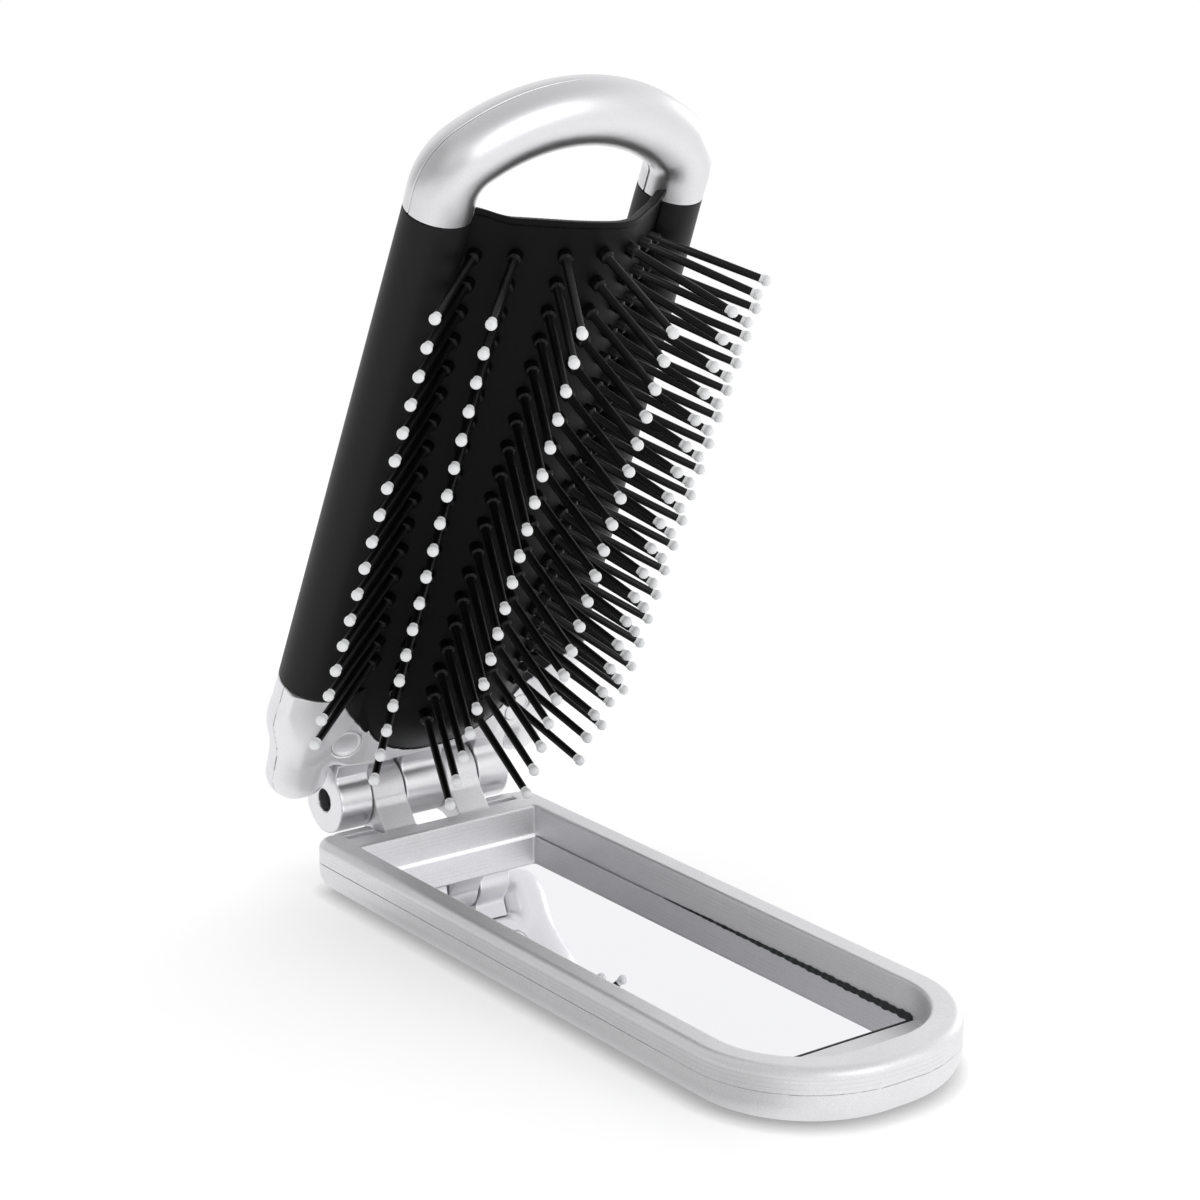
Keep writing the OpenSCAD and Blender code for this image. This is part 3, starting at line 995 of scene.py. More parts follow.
# The pin sits deep in its bore: its near-black colour is painted shade for the bore, in place of its steel.
PIN_PAINTED_SHADE = Finish(
    "hinge pin",
    Slot.STEEL,
    (0.004, 0.004, 0.004),
    (0.010, 0.010, 0.010),
    0.5,
    0.1,
    specular=0.2,
)
STEEL = Finish(
    "hinge steel",
    Slot.STEEL,
    (0.30, 0.30, 0.31),
    (0.42, 0.42, 0.43),
    0.35,
    0.1,
    metal=1.0,
    grain=2000.0,
)
CORE = Finish("core plastic", Slot.CORE, (0.03, 0.03, 0.03), (0.05, 0.05, 0.05), 0.5, 0.1)


# ---------------------------------------------------------------------------
# Making pieces
# ---------------------------------------------------------------------------


def shown(data: bpy.types.ID) -> bpy.types.Object:
    """Puts a mesh, a lamp or a camera in the scene.

    Args:
        data: what to show.

    Returns:
        The new object, with the same name.
    """
    made = bpy.data.objects.new(data.name, data)
    bpy.context.scene.collection.objects.link(made)
    return made


def make_piece(
    node: str,
    skin: Skin,
    finish: Finish,
    body: Body = Body.HEAD,
    sharp: float = 40.0,
    stands_for: bool = True,
) -> bpy.types.Object:
    """Turns a skin into a piece of the model.

    Args:
        node: the CAD node that it replaces, or the name of a piece that has none.
        skin: its surface in millimetres, on the head's axes for a piece of the head.
        finish: what it is made of.
        body: the body that it moves with.
        sharp: angle in degrees above which an edge stays sharp, where the skin has no normals.
        stands_for: whether there is such a node.

    Returns:
        The new object.
    """
    mesh = bpy.data.meshes.new(f"{node}_piece")
    faces = skin.faces.tolist() if isinstance(skin.faces, np.ndarray) else skin.faces
    on_head = body is Body.HEAD
    points = HINGE.placed(skin.points) if on_head else skin.points
    mesh.from_pydata((points * MM).tolist(), [], faces)
    mesh.validate()
    mesh.shade_smooth()
    if skin.normals is not None:
        normals = HINGE.turned(skin.normals) if on_head else skin.normals
        mesh.normals_split_custom_set_from_vertices(normals.tolist())
    else:
        mesh.set_sharp_from_angle(angle=math.radians(sharp))
    piece = shown(mesh)
    mesh.materials.append(finish.material())
    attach(piece, body.value)
    if stands_for:
        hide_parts(node)
    LOG.info("%s: %d points, %d faces", piece.name, len(mesh.vertices), len(mesh.polygons))
    return piece


def dress_node(node: str, finish: Finish) -> None:
    """Gives a CAD node that keeps its shape its finish.

    Args:
        node: name of the node.
        finish: what it is made of.
    """
    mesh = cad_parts[node].data
    mesh.materials.clear()
    mesh.materials.append(finish.material())
    LOG.info("%s: finish %s", node, finish.name)


# Radii of edges that have no size of their own, from hardly broken to soft, in millimetres.
HAIR, CRISP, PLAIN, SOFT = 0.02, 0.1, 0.15, 0.3
# Share of its height that a soft piece would keep if the brush were shut, above this place; the bristle
# columns' fold places are worked out from it.
FOLD_KEEP = 0.23
FOLD_F = -1.0
FOLD_TRIES = 20


def fold_away(piece: bpy.types.Object, anchor: Array, way: Array) -> None:
    """Gives a soft piece of the head a mesh of its own.

    Args:
        piece: the piece.
        anchor: a place on the head's axes.
        way: a direction on the same axes.
    """
    anchor = HINGE.placed(anchor) * MM
    tuple(HINGE.turned(way))
    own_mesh(piece)


# ---------------------------------------------------------------------------
# Handle
# ---------------------------------------------------------------------------


@dataclass
class Handle:
    """The flat handle: frame with hinge tabs, cover below it, and the mirror in its well."""

    length: float = 101.2
    width: float = 36.0
    thick: float = 7.4
    end_r: float = 16.5
    back_r: float = 2.9
    split: float = 4.3
    seam: float = 0.05
    seam_least: float = 0.1
    seam_change: Pair = (-46.0, -16.0)
    top_round: float = 1.2
    bottom_round: float = 3.2
    wall: float = 3.65
    back_wall: float = 7.1
    end_wall: float = 4.85
    well_r: float = 11.45
    skirt: float = 1.0
    skirt_low: float = 1.3
    skirt_play: float = 0.2
    mirror_top: float = 2.9
    glass_t: float = 1.3
    glass_len: float = 79.2
    glass_gap: float = 0.15
    cut_depth: float = 4.1
    cut_half: float = 14.1
    cut_edge: float = 0.25
    shoulder_end: float = 3.8
    shoulder_gap: float = 0.3
    groove_near: float = 0.7
    groove_far: float = 2.0
    groove_depth: float = 0.9
    barrel_r: float = 4.65
    bore_r: float = 1.6
    tab_in: float = 3.5
    tab_out: float = 8.6
    tab_root: float = 0.5
    tab_depth: float = 2.4
    tab_slope: float = 25.0
    tab_blend: float = 0.8
    tab_round: float = 0.22
    edge_deep: float = 0.3
    edge_rise: float = 0.22
    glue_along: Table = ((0.0, 0.5), (12.0, 0.42), (42.0, 0.16), (50.0, 0.02))
    glue_len: float = 50.4

    @property
    def edge_y(self) -> float:
        """The handle's back edge."""
        return self.length / 2

    @property
    def cut_y(self) -> float:
        """The wall of the cut-out for the hinge barrel."""
        return self.edge_y - self.cut_depth

    @property
    def well_y(self) -> float:
        """The back end of the mirror well."""
        return self.edge_y - self.back_wall

    @property
    def well_half(self) -> float:
        """Half the width of the mirror well."""
        return self.width / 2 - self.wall

    def joint(self, side: int) -> Solid:
        """One side of the joint between frame and cover, which closes up round the end.

        Args:
            side: 1 for the frame's side, -1 for the cover's.

        Returns:
            Half of space, up to the joint.
        """

        def distance(x: Array, y: Array, z: Array) -> Array:
            """Distance from the joint's plane."""
            width = self.seam * (self.seam_least + (1.0 - self.seam_least) * ease(y, *self.seam_change))
            return side * (self.split - z) + width / 2

        return Solid(distance)

    def outline(self) -> Solid:
        """Prism over the handle's outline."""
        return round_plan(self.width / 2, -self.edge_y, self.edge_y, self.end_r, self.back_r)

    def well(self, grow: float = 0.0) -> Solid:
        """Prism over the mirror well's outline, its walls moved out by grow."""
        plan = round_plan(self.well_half, -self.edge_y + self.end_wall, self.well_y, self.well_r, SOFT)
        return plan.grow(grow)

    def cutout(self) -> Solid:
        """Room for the hinge barrel."""
        return block((-self.cut_half, self.cut_y, -5), (self.cut_half, self.cut_y + 20, 30), SOFT)

    def shoulders(self) -> Solid:
        """Shoulders under the barrel's ends, outside the hinge tabs, each with a shallow groove.

        Returns:
            Both shoulders.
        """
        inner, y0, top = self.tab_out + self.shoulder_gap, self.cut_y, self.thick - 0.05
        low = (inner, y0 - self.tab_root, self.split + self.seam)
        body = block(low, (self.cut_half + 0.5, y0 + self.shoulder_end, top), SOFT)
        groove = block(
            (inner + 0.3, y0 + self.groove_near, top - self.groove_depth),
            (self.cut_half - 0.1, y0 + self.groove_far, top + 2.0),
            0.1,
        )
        solid = body.cut(groove, 0.12)
        return Solid(lambda x, y, z: solid(np.abs(x), y, z))

    def tabs(self) -> Solid:
        """The two hinge tabs, with eyes round the pin.

        Returns:
            Both tabs.
        """
        y, z, r = HINGE.axis_y, HINGE.axis_z, self.barrel_r
        turn = math.radians(self.tab_slope)
        root, foot = self.cut_y - self.tab_root, self.thick - self.tab_depth
        top = [(y, z), (y - r, z), (self.cut_y - 0.2, self.thick), (root, self.thick - 0.5)]
        under = [(root, foot), (self.cut_y, foot), (y - r * math.sin(turn), z - r * math.cos(turn))]
        eye = cylinder_x(y, z, r)
        tab = eye.join(polygon_x(top + under), self.tab_blend)
        return between(tab, self.tab_in, self.tab_out, self.tab_round)

    def frame_piece(self) -> None:
        """Upper frame: rim, well wall, floor at the round end, and hinge tabs."""
        slab = self.outline().meet(below(Axis.Z, self.thick), self.top_round)
        slab = slab.meet(self.joint(1), HAIR).cut(self.cutout(), self.cut_edge)
        skirt = self.well(self.skirt).meet(above(Axis.Z, self.skirt_low))
        skirt = skirt.meet(below(Axis.Z, self.split + 1))
        body = slab.join(skirt).join(self.shoulders()).join(self.tabs(), 0.25)
        glass_end = self.well_y - 2 * self.glass_gap - self.glass_len
        room = above(Axis.Z, self.mirror_top).join(above(Axis.Y, glass_end), 0.05)
        body = body.cut(self.well().meet(above(Axis.Z, self.mirror_top)), 0.5)
        body = body.cut(self.well().meet(room), CRISP)
        body = body.cut(cylinder_x(HINGE.axis_y, HINGE.axis_z, self.bore_r), CRISP)
        tab = ((self.tab_in - 0.4, 0.11), (self.tab_in + 0.5, 0.5), (self.tab_out - 0.5, 0.11))
        side = ((self.tab_out + 0.4, 0.4), (13.6, 0.14))
        xs = both_sides(stations((0, 0.7), *tab, *side, end=18.2))
        ys = stations((-51, 0.3), (-33, 1.2), (42, 0.16), end=58.8)
        zs = stations((1.0, 0.3), *self.seam_lines, (4.6, 0.25), (6.8, 0.12), (7.7, 0.25), end=16)
        make_piece("handle_frame", skin_of(body, xs, ys, zs), SILVER, Body.HANDLE)

    @property
    def seam_lines(self) -> Table:
        """Marks of the close grid lines round the joint."""
        near = 0.01
        return (self.split - 0.1, EDGE_STEP), (self.split - near, near), (self.split + near, EDGE_STEP)

    def cover_piece(self) -> None:
        """Lower cover, with a pocket for the frame's skirt."""
        slab = self.outline().meet(above(Axis.Z, 0.0), self.bottom_round)
        slab = slab.meet(self.joint(-1), HAIR)
        pocket = self.well(self.skirt + self.skirt_play)
        pocket = pocket.meet(above(Axis.Z, self.skirt_low - self.skirt_play))
        slab = slab.cut(pocket, CRISP).cut(self.cutout(), self.cut_edge)
        xs = both_sides(stations((0, 0.8), (13.6, 0.25), end=18.2))
        ys = stations((-51, 0.3), (-33, 1.2), (42, 0.25), end=51)
        zs = stations((-0.2, 0.22), (self.split - 0.2, EDGE_STEP), *self.seam_lines[1:], end=4.5)
        make_piece("handle_cover", skin_of(slab, xs, ys, zs), SILVER, Body.HANDLE)

    def glass_piece(self) -> None:
        """Mirror glass with ground edges."""
        half, back = self.well_half - self.glass_gap, self.well_y - self.glass_gap
        low = (-half, back - self.glass_len, self.mirror_top - self.glass_t)
        high = (half, back, self.mirror_top)
        plate = block(low, high, 0.12)
        xs = both_sides(stations((0, 1.5), (half - 0.4, EDGE_STEP), end=half + 0.2))
        ys, zs = rimmed(low[1], back, 2.0), rimmed(low[2], high[2], 0.3, 0.1, 0.3)
        make_piece("mirror_glass", skin_of(plate, xs, ys, zs), GLASS, Body.HANDLE)

    def edge_piece(self) -> None:
        """The mirror's pale ground edge at the back, whose glow is a painted highlight."""
        half, back, top = self.well_half, self.well_y, self.mirror_top
        low = (-half + 0.1, back - self.edge_deep, top - 0.1)
        high = (half - 0.1, back + 0.05, top + self.edge_rise)
        xs = rimmed(-half, half, 2.0, 0.0, 0.3)
        ys = stations((back - 0.42, 0.05), end=back + 0.1)
        zs = stations((top - 0.15, 0.05), end=top + 0.38)
        skin = skin_of(block(low, high, 0.06), xs, ys, zs)
        make_piece("mirror_edge_highlight", skin, EDGE_PAINTED_HIGHLIGHT, Body.HANDLE, stands_for=False)

    def glue_piece(self) -> None:
        """The dark glue along the mirror's straight end and its right edge, thinner towards the back."""
        half, top = self.well_half, self.mirror_top
        end = self.well_y - self.glass_gap - self.glass_len

        def bead(x: Array, y: Array, z: Array) -> Array:
            """Distance from the uneven bead along the edge.

            Args:
                x: places along x.
                y: places along y.
                z: places along z.

            Returns:
                The distances.
            """
            size = np.interp(y, *np.array([(end + a, b) for a, b in self.glue_along]).T)
            size = size * (1.0 + 0.25 * np.sin(y * 3.1) * np.sin(y * 1.3 + 1.0))
            ends = np.abs(y - end - self.glue_len / 2) - self.glue_len / 2
            return np.maximum(np.hypot(x - half, z - top) - size, ends)

        strip = block((-half, end - 0.12, top - 0.6), (half, end + 0.16, top + 0.02), 0.05)
        near = ((-half - 0.1, EDGE_STEP), (-half + 0.3, 2.0))
        xs = stations(*near, (half - 0.8, EDGE_STEP), end=half + 0.6)
        ys = stations((end - 0.3, EDGE_STEP), (end + 0.4, 0.3), end=end + self.glue_len + 0.4)
        zs = stations((top - 0.7, EDGE_STEP), end=top + 0.7)
        skin = skin_of(Solid(bead).join(strip), xs, ys, zs)
        make_piece("mirror_glue", skin, BLACK_GLUE, Body.HANDLE, stands_for=False)

    def build(self) -> None:
        """Makes every piece of the handle."""
        self.frame_piece()
        self.cover_piece()
        self.glass_piece()
        self.edge_piece()
        self.glue_piece()
        dress_node("mirror_tape", FOAM)


# ---------------------------------------------------------------------------
# Head: rails, pad and base
# ---------------------------------------------------------------------------


@dataclass
class Rails:
    """The two tapered side rails, from the base's seam to the loop's."""

    x_low: float = 19.0
    x_top: float = 17.6
    f_low: float = -1.4
    f_top: float = -1.1
    r_low: float = 5.1
    r_top: float = 4.27
    foot_v: float = 20.0
    seam_low: float = 21.6
    seam_top: float = 93.2
    seam_gap: float = 0.12
    bore_r: float = 2.3
    bore_v: float = 5.5

    def share(self, v: Array | float) -> Array | float:
        """How far up the rail a height lies, from 0 to 1."""
        return (v - self.foot_v) / (self.seam_top - self.foot_v)

    def axis(self, v: Array | float) -> tuple[Array | float, Array | float]:
        """Place (x, z) of the right rail's axis at a height."""
        t = self.share(v)
        return self.x_low + (self.x_top - self.x_low) * t, self.f_low + (self.f_top - self.f_low) * t

    def axis_gap(self, x: Array, v: Array, f: Array) -> Array:
        """Distance from the nearer rail's axis, square to the head's y."""
        cx, cf = self.axis(v)
        return np.hypot(np.abs(x) - cx, f - cf)

    def bar(self) -> Solid:
        """Both rails as endless tapered bars."""
        taper = self.r_top - self.r_low
        return Solid(lambda x, v, f: self.axis_gap(x, v, f) - (self.r_low + taper * self.share(v)))

    def bore(self) -> Solid:
        """Room for the rods inside the rails."""
        bar = Solid(lambda x, v, f: self.axis_gap(x, v, f) - self.bore_r)
        return bar.meet(above(Axis.Y, self.bore_v))

    def build(self, pad: Pad) -> None:
        """Makes both sleeves and dresses the rods.

        Args:
            pad: the pad, whose edges sit in grooves of the sleeves.
        """
        low, top = self.seam_low + self.seam_gap / 2, self.seam_top - self.seam_gap / 2
        body = self.bar().meet(above(Axis.Y, low), PLAIN).meet(below(Axis.Y, top), PLAIN)
        body = body.cut(self.bore(), CRISP).cut(pad.slot(), CRISP)
        lower = ((low - 0.2, 0.07), (low + 0.4, 0.5), (low + 4, 2.2))
        vs = stations(*lower, (top - 2, 0.4), (top - 0.4, 0.07), end=top + 0.2)
        fs, xs = stations((-6.9, 0.28), end=4.2), stations((12.5, 0.28), end=25.2)
        for name, side, lines in (("left", -1, -xs[::-1]), ("right", 1, xs)):
            one = body.meet(Solid(lambda x, v, f, s=side: -s * x))
            make_piece(f"sleeve_{name}", skin_of(one, lines, vs, fs), SOFT_TOUCH)
            dress_node(f"core_rod_{name}", CORE)


@dataclass
class Pad:
    """The arched rubber pad that carries the bristles."""

    crown_r: float = 10.1
    crown_f: float = 9.9
    slope: float = 37.0
    edge_f: float = 0.9
    thick: float = 1.1
    low_v: float = 21.7
    low_power: float = 2.2
    top_v: float = 93.25
    top_tilt: float = 18.8
    sag: float = 0.5
    sag_x: float = 3.5
    sag_w: float = 5.0
    rise: float = 1.1
    rise_x: Pair = (10.0, 14.5)
    play: float = 0.05
    lip: float = 0.26
    lip_w: float = 0.75
    lip_blend: float = 0.16
    foot: Table = ((11.6, 13.6), (14.8, 17.3), (16.2, 19.2), (18.2, 21.6), (18.2, 24.0), (11.6, 24.0))
    foot_t: float = 0.16
    foot_f: float = 0.4

    @property
    def turn(self) -> float:
        """Slope of the flanks, which is also how far the crown's arc turns."""
        return math.radians(self.slope)

    @property
    def centre(self) -> float:
        """Height of the centre of the crown's arc."""
        return self.crown_f - self.crown_r

    @property
    def arc_end(self) -> Pair:
        """Where the arc goes over into the flank: how far out, and how high."""
        return self.crown_r * math.sin(self.turn), self.centre + self.crown_r * math.cos(self.turn)

    def outer(self, grow: float = 0.0) -> Solid:
        """Everything under the pad's outer surface.

        Args:
            grow: how far that surface is moved out.

        Returns:
            The endless solid, round at its lower end.
        """
        turn, centre, (xt, ft) = self.turn, self.centre, self.arc_end

        def distance(x: Array, v: Array, f: Array) -> Array:
            """Distance from the arc of the crown or from the flank.

            Args:
                x: places across the head.
                v: places up the head.
                f: places towards the bristles.

            Returns:
                The distances.
            """
            beyond = np.maximum(self.low_v - v, 0.0)
            across = (np.abs(x) ** self.low_power + beyond**self.low_power) ** (1 / self.low_power)
            arc = np.hypot(across, f - centre) - self.crown_r
            flank = (across - xt) * math.sin(turn) + (f - ft) * math.cos(turn)
            return np.where(np.arctan2(across, f - centre) < turn, arc, flank) - grow

        return Solid(distance)

    def slot(self) -> Solid:
        """Groove for the pad's edge, with play on both sides."""
        shell = self.outer(self.play).cut(self.outer(-self.thick - self.play))
        return shell.meet(above(Axis.Z, self.edge_f - self.play))

    def surface(self, x: float) -> float:
        """Height of the outer surface.

        Args:
            x: distance from the middle.

        Returns:
            The height there.
        """
        xt, ft = self.arc_end
        flank = ft - (x - xt) * math.tan(self.turn)
        return self.centre + math.sqrt(self.crown_r**2 - x * x) if x < xt else flank

    def top_gap(self, x: Array, v: Array, f: Array) -> Array:
        """Distance above the sloping top edge, which sags a little and rises at its ends.

        Args:
            x: places across the head.
            v: places up the head.
            f: places towards the bristles.

        Returns:
            The distances.
        """
        tilt = math.radians(self.top_tilt)
        sag = self.sag * np.exp(-(((x - self.sag_x) / self.sag_w) ** 2))
        sag = sag - self.rise * ease(np.abs(x), *self.rise_x)
        return (v - self.top_v + sag) * math.cos(tilt) - f * math.sin(tilt)

    def gusset(self, base: Base, grow: float = 0.0) -> Solid:
        """Foot of the pad on each side, between the base's face and the rail's lower end.

        Args:
            base: the base that it stands on.
            grow: how far its surface is moved out.

        Returns:
            Both feet.
        """

        def distance(x: Array, v: Array, f: Array) -> Array:
            """Distance from a foot without its ends."""
            plan = polygon_gap(np.array(self.foot), np.abs(x), v) + 0.0 * f
            return round_max(plan, base.top(x, v, f) - self.foot_t, 0.1) - grow

        foot = Solid(distance).meet(above(Axis.Z, self.foot_f - grow))
        return foot.meet(below(Axis.Y, base.top_v + grow))

    def build(self, base: Base) -> None:
        """Makes the pad, with a lip along its top edge.

        Args:
            base: the base that its feet stand on.
        """
        rails = base.rails

        def lipped(x: Array, v: Array, f: Array) -> Array:
            """Distance from the outer surface, raised to a lip near the top edge."""
            near = np.clip(1.0 + (self.top_gap(x, v, f) + self.lip_w) / self.lip_blend, 0.0, 1.0)
            return self.outer()(x, v, f) - self.lip * near * near * (3 - 2 * near)

        shell = Solid(lipped).cut(self.outer(-self.thick), PLAIN)
        shell = shell.meet(above(Axis.Z, self.edge_f), PLAIN).join(self.gusset(base), 0.2)
        shell = shell.meet(Solid(self.top_gap), 0.25)
        room = rails.r_top + self.play
        legs = Solid(lambda x, v, f: np.hypot(np.abs(x) - rails.x_top, f - rails.f_top) - room + 0.0 * v)
        shell = shell.cut(legs.meet(above(Axis.Y, rails.seam_top)), CRISP)
        xs = both_sides(stations((0, 0.35), end=19.0))
        vs = stations((5.8, 0.35), (22.5, 1.6), (90.5, 0.16), end=98.5)
        fs = stations((0.3, 0.22), end=10.4)
        piece = make_piece("bristle_pad", skin_of(shell, xs, vs, fs), RUBBER)
        fold_away(piece, np.array([0.0, 0.0, FOLD_F]), np.array([0.0, 0.0, 1.0]))


@dataclass
class Base:
    """The head's silver base: two shells with horns, knuckles round the pin, plugs and screws."""

    rails: Rails
    pad: Pad
    # Half width of a horn by height, from the rail's axis to its outer side.
    widths: Table = (
        *((1.0, 3.5), (5.5, 3.6), (7.0, 3.7), (9.0, 3.86), (11.0, 4.25)),
        *((13.0, 5.0), (14.5, 5.3), (16.0, 5.3), (18.0, 5.15), (20.0, 5.08)),
    )
    # Places (x, y) round the lobe and up the inner side of a horn.
    lobe: Table = (
        *((22.55, 4.0), (21.7, 2.5), (20.3, 1.45), (18.7, 1.0), (17.1, 1.05), (15.7, 1.75)),
        *((14.8, 3.1), (14.55, 5.0), (14.55, 8.0), (13.6, 12.0), (13.2, 16.0), (13.2, 30.0)),
    )
    # Radius of the rail's end by height, where it rises out of the face.
    bar: Table = (
        *((8.0, 0.6), (10.0, 1.9), (12.0, 3.1), (14.0, 4.0)),
        *((16.0, 4.6), (18.0, 4.95), (20.0, 5.1)),
    )
    # The plug's raised rim: distance in from its edge, and height.
    plug_rim: Table = (
        *((0.0, -0.02), (0.06, 0.08), (0.16, 0.12)),
        *((0.3, 0.06), (0.42, -0.06), (0.55, -0.1)),
    )
    side_v: Pair = (30.0, 5.0)
    top_v: float = 21.54
    plate_half: float = 18.5
    plate_round: float = 0.8
    face_f: float = 2.0
    face_x: float = 14.4
    face_slope: float = 10.0
    face_top: float = 2.62
    bar_fillet: float = 2.4
    face_round: float = 3.2
    round_x: Pair = (13.0, 16.0)
    sharpen: float = 0.9
    sharpen_v: Pair = (12.5, 19.0)
    front_v: float = 7.2
    split_f: float = -1.2
    seam: float = 0.01
    back_f: float = -5.2
    back_v: float = 5.1
    round_r: float = 1.2
    hole_r: float = 13.2
    hole_v: float = 22.3
    barrel_r: float = 4.65
    barrel_half: float = 13.9
    knuckle_in: float = 8.8
    knuckle_round: float = 0.2
    web_blend: float = 0.8
    middle_half: float = 3.3
    web_f: float = 1.4
    bridge_f: float = 0.4
    bore_r: float = 1.6
    plug_x: float = 14.0
    plug_v: float = 11.75
    plug_r: float = 2.15
    plug_t: float = 0.8
    plug_play: float = 0.06
    screw_head_r: float = 1.76
    screw_f: float = 0.14
    screw_r: float = 0.95
    rod_v: float = 12.5

    def outline(self) -> Solid:
        """Outline of both horns: the outer side, round the lobe and up the inner side.

        Returns:
            The endless prisms over it.
        """
        heights = np.linspace(*self.side_v, 20)
        side = [(self.rails.axis(v)[0] + float(curve(self.widths, v)), v) for v in heights]
        ring = smooth_path(side + list(self.lobe))
        return Solid(lambda x, v, f: polygon_gap(ring, np.abs(x), v) + 0.0 * f)

    def face(self, x: Array, f: Array) -> Array:
        """Distance in front of the face, which falls away towards the sides.

        Args:
            x: places across the head.
            f: places towards the bristles.

        Returns:
            The distances.
        """
        turn = math.radians(self.face_slope)
        slope = self.face_f + (self.face_x - np.abs(x)) * math.tan(turn)
        return (f - np.minimum(slope, self.face_top)) * math.cos(turn)

    def top(self, x: Array, v: Array, f: Array) -> Array:
        """Distance in front of the face and of the ends of the rails that rise out of it."""
        bar = self.rails.axis_gap(x, v, f) - curve(self.bar, v)
        return -round_max(-self.face(x, f), -bar, self.bar_fillet)

    def front_form(self) -> Solid:
        """The front as one soft cushion, out of which the ends of the rails rise.

        Returns:
            The solid, endless towards the back.
        """
        outline = self.outline()

        def distance(x: Array, v: Array, f: Array) -> Array:
            """Distance from the cushion, rounder at the lobes and sharper up the rails.

            Args:
                x: places across the head.
                v: places up the head.
                f: places towards the bristles.

            Returns:
                The distances.
            """
            half = np.abs(x)
            plate = np.maximum(half - self.plate_half, self.front_v - v)
            plan = -round_max(-outline(x, v, f), -plate, self.plate_round)
            edge = self.round_r + (self.face_round - self.round_r) * ease(half, *self.round_x)
            edge = edge * (1.0 - self.sharpen * ease(v, *self.sharpen_v))
            return round_max(plan, self.top(x, v, f), edge)

        return Solid(distance)

    def back_form(self) -> Solid:
        """The back: round horns on both sides of a flat plate.

        Returns:
            The solid, endless towards the front.
        """
        outline, front = self.outline(), self.front_form()

        def horns(x: Array, v: Array, f: Array) -> Array:
            """Distance from both horns.

            Args:
                x: places across the head.
                v: places up the head.
                f: places towards the bristles.

            Returns:
                The distances.
            """
            r = curve(self.widths, v)
            side = np.maximum(outline(x, v, f), front(x, v, f))
            return round_max(side, self.rails.axis(v)[1] - r - f, r - 0.05)

        low = (-self.plate_half, self.back_v, self.back_f)
        return Solid(horns).join(block(low, (self.plate_half, 30, 6), self.round_r), SOFT)

    def hole(self) -> Solid:
        """Opening behind the lower end of the pad."""
        return Solid(lambda x, v, f: np.hypot(x, v - self.hole_v) - self.hole_r + 0 * f)

    def plug_axis(self, side: int) -> tuple[Array, Array]:
        """Place and direction of a plug's outer face.

        Args:
            side: -1 for the left plug, 1 for the right one.

        Returns:
            The middle of the face, and its unit normal.
        """
        turn = math.radians(self.face_slope)
        place = np.array([side * self.plug_x, self.plug_v, self.face_f])
        return place, np.array([side * math.sin(turn), 0.0, math.cos(turn)])

    def pocket(self) -> Solid:
        """Room for both plugs, square to the sloping face.

        Returns:
            Both pockets.
        """
        place, along = self.plug_axis(1)

        def distance(x: Array, v: Array, f: Array) -> Array:
            """Distance from the nearer pocket.

            Args:
                x: places across the head.
                v: places up the head.
                f: places towards the bristles.

            Returns:
                The distances.
            """
            dx, df = np.abs(x) - place[0], f - place[2]
            gap = np.hypot(dx * along[2] - df * along[0], v - place[1]) - self.plug_r - self.plug_play
            return np.maximum(gap, -self.plug_t - dx * along[0] - df * along[2])

        return Solid(distance)

    def front_shell(self) -> Solid:
        """The front shell, with seats for the pad and the plugs.

        Returns:
            The shell.
        """
        body = self.front_form().meet(above(Axis.Z, self.split_f + self.seam / 2))
        body = body.meet(below(Axis.Y, self.top_v), 0.22).cut(self.hole(), CRISP)
        seat = self.pad.outer(self.pad.play).meet(above(Axis.Z, self.pad.edge_f - self.pad.play))
        body = body.cut(seat.join(self.pad.gusset(self, self.pad.play)), 0.12)
        body = body.cut(self.rails.bore().meet(above(Axis.Y, self.rod_v)))
        body = body.cut(self.pocket(), 0.14)
        head = cylinder_z(self.plug_x, self.plug_v, self.screw_head_r).meet(above(Axis.Z, self.screw_f))
        return body.cut(head.join(cylinder_z(self.plug_x, self.plug_v, self.screw_r)))

    def back_shell(self) -> Solid:
        """The back shell, with the webs and knuckles of the hinge.

        Returns:
            The shell.
        """
        body = self.back_form().meet(below(Axis.Z, self.split_f - self.seam / 2))
        near, low = self.front_v - 0.1, -self.barrel_r + 0.1
        bridge = (self.barrel_half, near, self.bridge_f)
        body = body.join(block((-self.barrel_half, self.back_v, self.back_f + 0.2), bridge, SOFT))
        web = polygon_x([(0, low), (near, low), (near, self.web_f), (0, self.web_f)])
        eye = cylinder_x(0, 0, self.barrel_r).join(web, self.web_blend)
        outer = between(eye, self.knuckle_in, self.barrel_half, self.knuckle_round)
        middle = between(eye, -self.middle_half, self.middle_half, self.knuckle_round)
        body = body.join(outer, PLAIN).join(middle, PLAIN)
        body = body.meet(below(Axis.Y, self.top_v), PLAIN)
        body = body.cut(self.hole(), 0.4)
        return body.cut(self.rails.bore()).cut(cylinder_x(0, 0, self.bore_r), 0.12)

    def hairline(self, skin: Skin, form: Solid) -> Skin:
        """Lets a shell's outside run up to the joint between the shells without a bevel.

        Args:
            skin: the shell's skin, whose normals change near the joint.
            form: the form that its outside follows.

        Returns:
            The same skin.
        """
        near = np.abs(skin.points[:, 2] - self.split_f) < 0.25
        near &= np.abs(form(*skin.points.T)) < 0.06
        skin.normals[near] = gradient(form, skin.points[near])
        return skin

